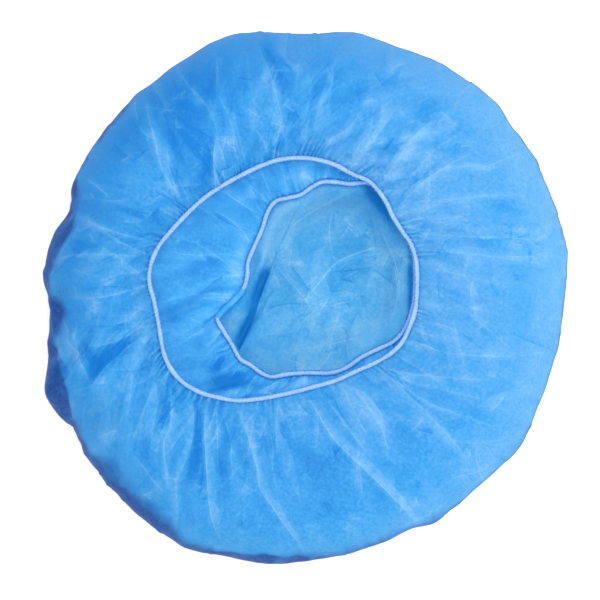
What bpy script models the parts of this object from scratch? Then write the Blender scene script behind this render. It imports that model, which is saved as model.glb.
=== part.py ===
"""Two-layer surgical bouffant cap of thin non-woven cloth, lying on its crown with the mouth up.

Metres, +Z up. The cap rests on the flattened middle of its crown, and the origin is below the middle
of its outline, on the surface that it rests on. An outer layer and a looser inner one each end in a
gathered rim with its own elastic. Directions round the cap are degrees from +X towards +Y.
"""

import math

import bmesh
import bpy
from mathutils import Vector

# The cloth's wall, and the gap that touching pieces keep
WALL = 0.0012
GAP = 0.0004

# The outer layer as it lies: its mean radius, its height, and the flat middle that it rests on
BODY_RADIUS = 0.1605
BODY_HEIGHT = 0.0540
FOOT_RADIUS = 0.1290

# The outer mouth: an oval, set off the middle of the cap and turned
MOUTH_HALF_LENGTH = 0.0825
MOUTH_HALF_WIDTH = 0.0690
MOUTH_TURN_DEG = 22.0
MOUTH_X = -0.0130
MOUTH_Y = 0.0103
MOUTH_HEIGHT = 0.0385
MOUTH_SAG = 0.0018

# The inner layer: how far it lies inside the outer one, and below the outer mouth that it runs under
SIDE_SLACK = 0.0040
TOP_SLACK = 0.0070
FOOT_SLACK = 0.0030
MOUTH_CLEARANCE = 0.0022
RIM_MARGIN = 0.0120

# The inner mouth: smaller, further right, and below the outer one, most of all on the left
INNER_MOUTH_RADIUS = 0.0585
INNER_MOUTH_X = 0.0120
INNER_MOUTH_Y = 0.0103
INNER_MOUTH_DEPTH = 0.0085
INNER_MOUTH_EXTRA_DEPTH = 0.0095
INNER_MOUTH_LOW_DEG = 192.0

# The elastics, each a round cord in the edge of its layer
OUTER_ELASTIC_DIAMETER = 0.0030
INNER_ELASTIC_DIAMETER = 0.0028

# The gathers: small even waves round each mouth
OUTER_GATHERS = 26
INNER_GATHERS = 20
OUTER_GATHER_HEIGHT = 0.0017
INNER_GATHER_HEIGHT = 0.0009
POINTS_PER_GATHER = 4
ELASTIC_POINTS = 64
ELASTIC_BEVEL_RESOLUTION = 2

# Bumps and dents of the outline: direction, reach as a share of the radius, half width
OUTLINE_COLUMNS = ("angle_deg", "share", "half_width_deg")
OUTLINE_BUMPS = (
    (47.0, 0.022, 26.0),
    (105.0, 0.024, 15.0),
    (151.0, -0.020, 24.0),
    (160.5, -0.026, 3.2),
    (185.0, -0.028, 9.0),
    (202.0, 0.034, 8.0),
    (211.0, -0.016, 3.2),
    (238.0, 0.036, 24.0),
    (246.0, 0.014, 5.0),
    (297.0, -0.026, 24.0),
    (343.0, -0.026, 18.0),
)

# Sections of a layer's side from its foot up: the way out from the foot to the widest radius, how much
# of that radius the section is drawn in, and the height as a share of the crest's
SIDE_COLUMNS = ("outward_share", "drawn_in_share", "height_share")
OUTER_SECTIONS = (
    (0.62, 0.000, 0.102),
    (0.92, 0.000, 0.295),
    (1.00, 0.000, 0.511),
    (1.00, 0.022, 0.784),
    (1.00, 0.075, 1.000),
)
CREST_SHARE = 0.88

# Sections of a layer's top from its crest in: the way in, the height as a share of the rise from its
# inner edge, and how much it is gathered
TOP_COLUMNS = ("inward_share", "rise_share", "gather_share")
OUTER_TOP_SECTIONS = (
    (0.18, 0.96, 0.20),
    (0.36, 1.00, 0.55),
    (0.54, 0.90, 0.85),
    (0.72, 0.66, 1.00),
    (0.87, 0.34, 0.90),
    (1.00, 0.00, 0.35),
)

# Folds of the outer layer's top: direction, height and half width, and where each runs as inward shares
FOLD_COLUMNS = ("angle_deg", "height_share", "half_width_deg", "from_share", "to_share")
OUTER_FOLDS = (
    (12.0, 0.050, 9.0, 0.05, 0.75),
    (34.0, -0.060, 7.0, 0.20, 0.75),
    (47.0, 0.055, 6.0, 0.10, 0.90),
    (66.0, -0.060, 6.0, 0.15, 0.80),
    (84.0, 0.055, 5.0, 0.10, 0.95),
    (98.0, -0.070, 5.0, 0.10, 0.85),
    (112.0, 0.065, 6.0, 0.05, 0.90),
    (136.0, 0.085, 5.0, 0.10, 0.95),
    (148.0, -0.075, 7.0, 0.10, 0.80),
    (165.0, 0.070, 5.0, 0.00, 0.80),
    (181.0, -0.045, 6.0, 0.15, 0.80),
    (197.0, 0.080, 5.0, 0.00, 0.60),
    (207.0, -0.130, 5.0, 0.15, 0.75),
    (217.0, 0.110, 5.0, 0.00, 0.90),
    (236.0, -0.060, 5.0, 0.15, 0.85),
    (248.0, 0.080, 4.5, 0.05, 0.95),
    (262.0, -0.070, 5.0, 0.10, 0.90),
    (283.0, 0.060, 6.0, 0.05, 0.90),
    (306.0, 0.070, 6.0, 0.00, 0.90),
    (322.0, -0.060, 6.0, 0.20, 0.80),
    (340.0, 0.055, 7.0, 0.05, 0.85),
)

# On the left the top is tucked in over the wider side below it
TUCK_ANGLE_DEG = 188.0
TUCK_HALF_WIDTH_DEG = 24.0
TUCK_SHARE = 0.045
TUCK_FROM_HEIGHT_SHARE = 0.60

# Bends of the inner mouth: direction, reach as a share of its radius, half width
INNER_MOUTH_BENDS = (
    (88.0, 0.035, 14.0),
    (158.0, -0.170, 28.0),
    (218.0, 0.230, 24.0),
    (300.0, -0.070, 26.0),
)

# The inner layer's side and top, in the same columns. Its top runs from the crest to below the outer
# mouth, and from there to its own mouth.
INNER_SECTIONS = (
    (0.55, 0.000, 0.120),
    (1.00, 0.015, 0.440),
    (1.00, 0.045, 0.780),
    (1.00, 0.115, 1.000),
)
INNER_TOP_SECTIONS = (
    (0.35, 0.92, 0.10),
    (0.70, 0.40, 0.25),
    (1.00, 0.00, 0.40),
)
INNER_RIM_SECTIONS = (
    (0.33, 0.72, 0.60),
    (0.68, 0.30, 1.00),
    (1.00, 0.00, 0.60),
)

# The inner floor: its rings as shares of the foot's radius, and its soft bulges. Their places and
# widths are shares of the foot's radius too, and their heights are shares of the body's height.
FLOOR_RING_SHARES = (0.22, 0.42, 0.62, 0.82)
BULGE_COLUMNS = ("x_share", "y_share", "half_length_share", "half_width_share", "turn_deg", "height_share")
FLOOR_BULGES = (
    (0.21, -0.02, 0.43, 0.29, 55.0, 0.190),
    (-0.43, 0.19, 0.33, 0.20, 80.0, 0.130),
    (0.74, 0.12, 0.26, 0.18, 90.0, 0.090),
    (-0.12, -0.66, 0.36, 0.19, 10.0, 0.110),
)

# Colours and finish of the materials
CLOTH_BLUE = (0.085, 0.405, 0.870, 1.0)
INNER_CLOTH_BLUE = (0.070, 0.375, 0.860, 1.0)
ELASTIC_LILAC = (0.600, 0.640, 0.930, 1.0)
CLOTH_ROUGHNESS = 0.75
ELASTIC_ROUGHNESS = 0.85


def start_scene():
    """Empties the scene, and returns a new collection for the cap."""
    for old in list(bpy.data.objects):
        bpy.data.objects.remove(old)
    cap = bpy.data.collections.new("surgical_cap")
    bpy.context.scene.collection.children.link(cap)
    return cap


def material(name, colour, roughness):
    made = bpy.data.materials.new(name)
    made.use_nodes = True
    shader = made.node_tree.nodes["Principled BSDF"]
    shader.inputs["Base Color"].default_value = colour
    shader.inputs["Roughness"].default_value = roughness
    shader.inputs["Metallic"].default_value = 0.0
    return made


def rows(columns, table):
    """The table's rows, each as a dictionary with the columns' names."""
    return [dict(zip(columns, row)) for row in table]


def turned_by(angle_deg, other_deg):
    """The signed turn from one direction to another, in degrees, from -180 to 180."""
    return (angle_deg - other_deg + 180.0) % 360.0 - 180.0


def bump(distance, half_width):
    """A smooth bump that is 1 in its middle and fades over its half width."""
    return math.exp(-((distance / half_width) ** 2))


def smooth_step(value):
    """0 below 0 and 1 above 1, and smooth between them."""
    held = min(1.0, max(0.0, value))
    return held * held * (3.0 - 2.0 * held)


def along(angle_deg, distance):
    """The point at that distance from the middle, in plan."""
    angle = math.radians(angle_deg)
    return Vector((distance * math.cos(angle), distance * math.sin(angle), 0.0))


def outline_share(angle_deg):
    """The outline's radius in that direction, as a share of the mean radius."""
    share = 1.0
    for row in rows(OUTLINE_COLUMNS, OUTLINE_BUMPS):
        away = turned_by(angle_deg, row["angle_deg"])
        share += row["share"] * bump(away, row["half_width_deg"])
    return share


def outline_middle():
    """The middle of the box round the outline, which goes over the origin."""
    points = [along(step, BODY_RADIUS * outline_share(step)) for step in range(360)]
    xs = [point.x for point in points]
    ys = [point.y for point in points]
    return Vector(((min(xs) + max(xs)) / 2.0, (min(ys) + max(ys)) / 2.0, 0.0))


def tuck(angle_deg, height_share):
    """How much of the radius the top is drawn in, where the side below it stands out."""
    round_the_cap = bump(turned_by(angle_deg, TUCK_ANGLE_DEG), TUCK_HALF_WIDTH_DEG)
    up_the_side = smooth_step((height_share - TUCK_FROM_HEIGHT_SHARE) / (1.0 - TUCK_FROM_HEIGHT_SHARE))
    return TUCK_SHARE * round_the_cap * up_the_side


def body_point(angle_deg, radius, height):
    """A point of a layer's side, on the cap's outline at that mean radius."""
    share = outline_share(angle_deg) - tuck(angle_deg, height / BODY_HEIGHT)
    return along(angle_deg, radius * share) + Vector((0.0, 0.0, height))


def outer_mouth(angle_deg, grown=0.0):
    """A point of the outer mouth's oval, moved out by grown."""
    turn = math.radians(turned_by(angle_deg, MOUTH_TURN_DEG))
    across = math.hypot(MOUTH_HALF_WIDTH * math.cos(turn), MOUTH_HALF_LENGTH * math.sin(turn))
    radius = MOUTH_HALF_LENGTH * MOUTH_HALF_WIDTH / across
    sag = MOUTH_SAG * math.cos(math.radians(3.0 * angle_deg))
    middle = Vector((MOUTH_X, MOUTH_Y, MOUTH_HEIGHT + sag))
    return middle + along(angle_deg, radius + grown)


def inner_mouth_radius(angle_deg):
    share = 1.0
    for row in rows(OUTLINE_COLUMNS, INNER_MOUTH_BENDS):
        away = turned_by(angle_deg, row["angle_deg"])
        share += row["share"] * bump(away, row["half_width_deg"])
    return INNER_MOUTH_RADIUS * share


def inner_mouth(angle_deg, grown=0.0):
    """A point of the inner mouth, moved out by grown. It is low on the left and high on the right."""
    lowness = (1.0 + math.cos(math.radians(angle_deg - INNER_MOUTH_LOW_DEG))) / 2.0
    drop = INNER_MOUTH_DEPTH + INNER_MOUTH_EXTRA_DEPTH * lowness
    middle = Vector((INNER_MOUTH_X, INNER_MOUTH_Y, MOUTH_HEIGHT - drop))
    return middle + along(angle_deg, inner_mouth_radius(angle_deg) + grown)


def below_outer_mouth(angle_deg):
    """The inner layer's point under the outer mouth, seen that way from the middle of the inner mouth.

    Where the inner mouth reaches as far out as the outer one, the point lies a margin outside it.
    """
    turn = math.radians(MOUTH_TURN_DEG)
    way = along(angle_deg, 1.0)
    start = Vector((INNER_MOUTH_X - MOUTH_X, INNER_MOUTH_Y - MOUTH_Y, 0.0))
    way_long = (way.x * math.cos(turn) + way.y * math.sin(turn)) / MOUTH_HALF_LENGTH
    way_wide = (way.y * math.cos(turn) - way.x * math.sin(turn)) / MOUTH_HALF_WIDTH
    start_long = (start.x * math.cos(turn) + start.y * math.sin(turn)) / MOUTH_HALF_LENGTH
    start_wide = (start.y * math.cos(turn) - start.x * math.sin(turn)) / MOUTH_HALF_WIDTH
    square = way_long ** 2 + way_wide ** 2
    linear = way_long * start_long + way_wide * start_wide
    rest = start_long ** 2 + start_wide ** 2 - 1.0
    reach = (math.sqrt(max(0.0, linear ** 2 - square * rest)) - linear) / square
    distance = max(reach, inner_mouth_radius(angle_deg) + RIM_MARGIN)
    depth = MOUTH_SAG + OUTER_ELASTIC_DIAMETER / 2.0 + WALL + MOUTH_CLEARANCE
    middle = Vector((INNER_MOUTH_X, INNER_MOUTH_Y, MOUTH_HEIGHT - depth))
    return middle + along(angle_deg, distance)


def fold_height(angle_deg, inward):
    """The rise or fall that the folds give the outer layer's top there."""
    height = 0.0
    for row in rows(FOLD_COLUMNS, OUTER_FOLDS):
        away = turned_by(angle_deg, row["angle_deg"])
        middle = (row["from_share"] + row["to_share"]) / 2.0
        half_run = (row["to_share"] - row["from_share"]) / 2.0
        run = bump(inward - middle, half_run)
        height += row["height_share"] * BODY_HEIGHT * run * bump(away, row["half_width_deg"])
    return height


def gather_wave(column, columns, gathers):
    """1 on the crest of a gather and -1 between two."""
    return math.cos(2.0 * math.pi * gathers * column / columns)


def floor_height(point):
    """How far the inner floor's bulges lift it there."""
    height = 0.0
    for row in rows(BULGE_COLUMNS, FLOOR_BULGES):
        away = point / FOOT_RADIUS - Vector((row["x_share"], row["y_share"], 0.0))
        turn = math.radians(row["turn_deg"])
        lengthwise = away.x * math.cos(turn) + away.y * math.sin(turn)
        sidewise = away.y * math.cos(turn) - away.x * math.sin(turn)
        shape = bump(lengthwise, row["half_length_share"]) * bump(sidewise, row["half_width_share"])
        height += row["height_share"] * BODY_HEIGHT * shape
    return height


def side_rings(table, angles, foot_radius, radius, floor, crest):
    """The rings of a layer's side, from its foot to its crest."""
    rings = [[body_point(angle, foot_radius, floor) for angle in angles]]
    for row in rows(SIDE_COLUMNS, table):
        reach = foot_radius + row["outward_share"] * (radius - foot_radius)
        reach -= row["drawn_in_share"] * radius
        height = floor + row["height_share"] * (crest - floor)
        rings.append([body_point(angle, reach, height) for angle in angles])
    return rings


def top_rings(table, outside, edge, rise_top, gathers, gather_height):
    """The rings of a layer's top, from the ring outside it in to an edge."""
    rings = []
    for row in rows(TOP_COLUMNS, table):
        ring = []
        for column, end in enumerate(edge):
            point = outside[column].lerp(end, row["inward_share"])
            point.z = end.z + row["rise_share"] * (rise_top[column] - end.z)
            wave = gather_wave(column, len(edge), gathers)
            point.z += row["gather_share"] * gather_height * wave
            ring.append(point)
        rings.append(ring)
    return rings


def outer_rings():
    """The outer layer's rings of points, from its foot to its mouth."""
    columns = OUTER_GATHERS * POINTS_PER_GATHER
    angles = [360.0 * column / columns for column in range(columns)]
    crest = CREST_SHARE * BODY_HEIGHT
    side = side_rings(OUTER_SECTIONS, angles, FOOT_RADIUS, BODY_RADIUS, 0.0, crest)
    mouth = [outer_mouth(angle, OUTER_ELASTIC_DIAMETER / 2.0 + GAP) for angle in angles]
    rise_top = [BODY_HEIGHT] * columns
    top = top_rings(OUTER_TOP_SECTIONS, side[-1], mouth, rise_top, OUTER_GATHERS, OUTER_GATHER_HEIGHT)
    for row, ring in zip(rows(TOP_COLUMNS, OUTER_TOP_SECTIONS), top):
        inward = row["inward_share"]
        for angle, point in zip(angles, ring):
            point.z += (1.0 - inward) * inward * 4.0 * fold_height(angle, inward)
    return side + top


def inner_rings():
    """The inner layer's rings of points, from the middle of its floor to its mouth."""
    columns = INNER_GATHERS * POINTS_PER_GATHER
    angles = [360.0 * column / columns for column in range(columns)]
    floor = WALL + GAP
    foot = FOOT_RADIUS - FOOT_SLACK
    radius = BODY_RADIUS - WALL - SIDE_SLACK
    crest = CREST_SHARE * BODY_HEIGHT - WALL - TOP_SLACK
    floor_rings = []
    for share in FLOOR_RING_SHARES:
        ring = [body_point(angle, foot * share, floor) for angle in angles]
        for point in ring:
            point.z += floor_height(point)
        floor_rings.append(ring)
    side = side_rings(INNER_SECTIONS, angles, foot, radius, floor, crest)
    below = [below_outer_mouth(angle) for angle in angles]
    mouth = [inner_mouth(angle, INNER_ELASTIC_DIAMETER / 2.0 + GAP) for angle in angles]
    crest_heights = [point.z for point in side[-1]]
    gathers = (INNER_GATHERS, INNER_GATHER_HEIGHT)
    top = top_rings(INNER_TOP_SECTIONS, side[-1], below, crest_heights, *gathers)
    rim = top_rings(INNER_RIM_SECTIONS, below, mouth, [point.z for point in below], *gathers)
    return floor_rings + side + top + rim


def lofted_sheet(name, rings, middle):
    """An open sheet through the rings, closed at the first one round a middle point."""
    made = bmesh.new()
    lofted = [[made.verts.new(point) for point in ring] for ring in rings]
    centre = made.verts.new(middle)
    columns = len(lofted[0])
    for column in range(columns):
        after = (column + 1) % columns
        made.faces.new((centre, lofted[0][after], lofted[0][column]))
        for lower, upper in zip(lofted, lofted[1:]):
            made.faces.new((lower[column], lower[after], upper[after], upper[column]))
    mesh = bpy.data.meshes.new(name)
    made.to_mesh(mesh)
    made.free()
    mesh.shade_smooth()
    return mesh


def cloth_layer(cap, name, rings, middle, finish):
    """A layer of the cap: the sheet through the rings, made a wall inwards."""
    mesh = lofted_sheet(name, rings, middle)
    layer = bpy.data.objects.new(name, mesh)
    mesh.materials.append(finish)
    wall = layer.modifiers.new("wall", "SOLIDIFY")
    wall.thickness = WALL
    wall.offset = -1.0
    wall.use_even_offset = True
    cap.objects.link(layer)
    return layer


def elastic(cap, name, mouth, diameter, finish):
    """An elastic: a closed round cord along a mouth."""
    curve = bpy.data.curves.new(name, "CURVE")
    curve.dimensions = "3D"
    curve.bevel_depth = diameter / 2.0
    curve.bevel_resolution = ELASTIC_BEVEL_RESOLUTION
    spline = curve.splines.new("POLY")
    spline.points.add(ELASTIC_POINTS - 1)
    for number, point in enumerate(spline.points):
        point.co = (*mouth(360.0 * number / ELASTIC_POINTS), 1.0)
    spline.use_cyclic_u = True
    spline.use_smooth = True
    curve.materials.append(finish)
    cord = bpy.data.objects.new(name, curve)
    cap.objects.link(cord)
    return cord


def build_cap():
    cap = start_scene()
    outer_cloth = material("outer_cloth", CLOTH_BLUE, CLOTH_ROUGHNESS)
    inner_cloth = material("inner_cloth", INNER_CLOTH_BLUE, CLOTH_ROUGHNESS)
    cord = material("elastic_cord", ELASTIC_LILAC, ELASTIC_ROUGHNESS)
    middle = Vector((0.0, 0.0, 0.0))
    inner_middle = Vector((0.0, 0.0, WALL + GAP))
    inner_middle.z += floor_height(inner_middle)
    pieces = [
        cloth_layer(cap, "outer_layer", outer_rings(), middle, outer_cloth),
        cloth_layer(cap, "inner_layer", inner_rings(), inner_middle, inner_cloth),
        elastic(cap, "outer_elastic", outer_mouth, OUTER_ELASTIC_DIAMETER, cord),
        elastic(cap, "inner_elastic", inner_mouth, INNER_ELASTIC_DIAMETER, cord),
    ]
    for piece in pieces:
        piece.location = -outline_middle()


build_cap()
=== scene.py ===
"""The surgical cap as the photograph shows it: two gathered layers of non-woven cloth and their elastics."""
import math

import bpy
import numpy as np
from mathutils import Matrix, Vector


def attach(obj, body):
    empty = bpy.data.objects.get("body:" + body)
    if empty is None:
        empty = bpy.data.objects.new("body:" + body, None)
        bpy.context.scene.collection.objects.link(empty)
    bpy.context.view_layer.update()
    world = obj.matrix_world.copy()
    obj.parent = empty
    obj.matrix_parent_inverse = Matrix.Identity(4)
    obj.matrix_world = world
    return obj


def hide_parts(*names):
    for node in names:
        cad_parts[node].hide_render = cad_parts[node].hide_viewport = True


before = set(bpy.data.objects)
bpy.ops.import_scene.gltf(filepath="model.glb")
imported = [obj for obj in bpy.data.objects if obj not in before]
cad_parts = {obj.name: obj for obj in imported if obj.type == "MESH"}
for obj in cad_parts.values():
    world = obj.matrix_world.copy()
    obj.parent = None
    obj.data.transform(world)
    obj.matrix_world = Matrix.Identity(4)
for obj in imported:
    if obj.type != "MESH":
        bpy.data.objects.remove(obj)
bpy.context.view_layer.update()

# Sizes repeated from the CAD source
WALL = 0.0012
GAP = 0.0004
BODY_RADIUS = 0.1605
BODY_HEIGHT = 0.0540
FOOT_RADIUS = 0.1290
MOUTH_HALF_LENGTH = 0.0825
MOUTH_HALF_WIDTH = 0.0690
MOUTH_TURN_DEG = 22.0
MOUTH_X = -0.0130
MOUTH_Y = 0.0103
MOUTH_HEIGHT = 0.0385
MOUTH_SAG = 0.0018
SIDE_SLACK = 0.0040
TOP_SLACK = 0.0070
FOOT_SLACK = 0.0030
MOUTH_CLEARANCE = 0.0022
RIM_MARGIN = 0.0120
INNER_MOUTH_X = 0.0120
INNER_MOUTH_Y = 0.0103
INNER_MOUTH_DEPTH = 0.0085
INNER_MOUTH_EXTRA_DEPTH = 0.0095
INNER_MOUTH_LOW_DEG = 192.0
OUTER_ELASTIC_DIAMETER = 0.0030
INNER_ELASTIC_DIAMETER = 0.0028
CREST_SHARE = 0.88
TUCK_ANGLE_DEG = 188.0
TUCK_HALF_WIDTH_DEG = 24.0
TUCK_SHARE = 0.045
TUCK_FROM_HEIGHT_SHARE = 0.60

# The outline: direction in degrees and reach in mm from its middle, straight between the corners
OUTLINE_CORNERS = (
    (0, 157.6), (10, 162.1), (20, 161.5), (30, 163.3), (40, 163), (45, 165.4), (50, 164.5), (60, 164.2),
    (70, 161.8), (80, 163), (90, 159.2), (100, 163), (105, 164.8), (110, 164.2), (120, 160.4),
    (130, 159.2), (140, 158.2), (150, 157), (155, 156), (160, 150.6), (165, 156.6), (170, 158.2),
    (175, 158.8), (176.5, 159.4), (180, 154), (185, 154.8), (190, 157), (195, 161.2), (200, 168), (205, 166),
    (210, 159.8), (215, 163.6), (225, 165.4), (235, 166.3), (245, 168.5), (250, 165.4), (260, 163.6),
    (265, 162.4), (270, 160), (280, 158.2), (290, 155.8), (295, 154.2), (300, 158.2), (310, 155.7),
    (320, 157.6), (325, 158.8), (330, 157.6), (340, 155.7), (350, 157),
)
# outward share, drawn in share, height share
OUTER_SECTIONS = (
    (0.62, 0.000, 0.102),
    (0.92, 0.000, 0.295),
    (1.00, 0.000, 0.511),
    (1.00, 0.022, 0.784),
    (1.00, 0.075, 1.000),
)
INNER_SECTIONS = (
    (0.55, 0.000, 0.120),
    (1.00, 0.015, 0.440),
    (1.00, 0.045, 0.780),
    (1.00, 0.115, 1.000),
)
# inward share, rise share
OUTER_TOP = (
    (0.18, 0.96),
    (0.36, 1.00),
    (0.54, 0.90),
    (0.72, 0.66),
    (0.87, 0.34),
    (1.00, 0.00),
)
INNER_TOP = (
    (0.35, 0.92),
    (0.70, 0.40),
    (1.00, 0.00),
)
INNER_RIM = (
    (0.33, 0.72),
    (0.68, 0.30),
    (1.00, 0.00),
)
FLOOR_BULGES = (
    (0.21, -0.02, 0.43, 0.29, 55.0, 0.190),
    (-0.43, 0.19, 0.33, 0.20, 80.0, 0.130),
    (0.74, 0.12, 0.26, 0.18, 90.0, 0.090),
    (-0.12, -0.66, 0.36, 0.19, 10.0, 0.110),
)

# The grid of each cloth layer, and how long it is let settle
OUTER_COLUMNS = 880
OUTER_ROWS = 106
INNER_COLUMNS = 640
INNER_ROWS = 78
FLOOR_ROWS = 70
STEPS = 40

# In metres: the lowest that the outer cloth lies, the inner layer's floor and foot, how far each layer keeps
# from the middle of its cord, and how far the cords wave up and down
LOWEST = 0.0004
INNER_FLOOR = WALL + GAP
INNER_FOOT = FOOT_RADIUS - FOOT_SLACK
OUTER_HEM = 0.0017
INNER_HEM = 0.0019
CORD_WAVE = 0.00018

# How many rows of cloth go round a cord, and how much of the foot's radius the first ring of a form has
EDGE_ROWS = 4
FIRST_SHARE = 0.9

# Settling: how much of its motion the cloth keeps, how firmly its slants hold, and the rows that stay in place
SWING = 0.86
SLANT_SHARE = 0.35
END_ROWS = [0, 1, -1]

# Creases: how many may run side by side, how far in mm their distance is kept, and the widths of fold and line
CREASE_LAYERS = 4
NEAREST_MM = 9.0
NARROWEST_MM = 2.2
LINE_MM = 0.48

# Folds: how much of the tables' height they have, how much of it they lean over towards their narrow side,
# and over how many metres their two sides blend
FOLD_SHARE = 0.8
LEAN_SHARE = 0.2
FOLD_BLEND = 0.0016

# Tones: how much paler doubled cloth is, how many times it counts as doubled, the share of what is
# painted, and how much paler the floor is than the rest, for the layers of cloth beneath it and as painted light
# against the shade inside the crown
PALER = 0.45
MOST_DOUBLED = 1.2
PAINTED_SHARE = 0.9
FLOOR_PALER = 0.45

UP = np.array((0.0, 0.0, 1.0))

# The photograph's plan: millimetres to a pixel, and the pixel at the middle of the cap's outline
PIXEL_MM = 0.606
MIDDLE_PIXEL = (304.5, 297.0)
OUTLINE_MIDDLE = (0.0009262, 0.0008329)
CAMERA_PLACE = (-0.0027, -0.0018, 1.325)
CAMERA_DISTANCE = 1.300

# The elastics' routes, in the photograph's pixels
OUTER_CORD_ROUTE = (
    (151, 270), (151, 285), (155, 300), (160, 325), (165, 352), (173, 369), (185, 382), (203, 392),
    (222, 397), (240, 399.5), (265, 397), (290, 392), (310, 387), (335, 380), (355, 371), (375, 362),
    (390, 353), (401, 342), (408, 328), (414, 310), (416, 285), (415, 262), (410, 245), (402, 233),
    (392, 217), (386, 204), (378, 192), (368, 182), (352, 175), (335, 166), (318, 161), (300, 159),
    (280, 161), (262, 167), (245, 175), (225, 186), (207, 198), (190, 213), (172, 232), (158, 250),
)
INNER_CORD_ROUTE = (
    (368, 183), (350, 184), (335, 182), (322, 182), (312, 187), (300, 195), (287, 198), (276, 201),
    (268, 211), (262, 229), (254, 247), (248, 262), (247, 276), (243, 289), (233, 301), (222, 311),
    (217, 319), (224, 332), (232, 345), (240, 359), (250, 365), (261, 373), (272, 377), (290, 374),
    (310, 373), (330, 373), (346, 368), (362, 357), (378, 349), (394, 341), (405, 328), (413, 306),
    (415, 282), (414, 258), (408, 240), (399, 225), (388, 205), (380, 192),
)
RIM_SHARE = 0.97
RIM_ROUTE = [
    (MIDDLE_PIXEL[0] + RIM_SHARE * reach / PIXEL_MM * math.cos(math.radians(turn)),
     MIDDLE_PIXEL[1] - RIM_SHARE * reach / PIXEL_MM * math.sin(math.radians(turn)))
    for turn, reach in OUTLINE_CORNERS
]
# Where creases spread at random: a middle, and the routes that they run between
OUTER_RING = np.array((281.5, 281.4)), OUTER_CORD_ROUTE, RIM_ROUTE
INNER_RING = np.array((322.8, 281.4)), INNER_CORD_ROUTE, OUTER_CORD_ROUTE
FLOOR_RING = np.array((318.0, 290.0)), ((322, 288), (318, 284), (314, 288), (318, 294)), INNER_CORD_ROUTE


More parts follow.
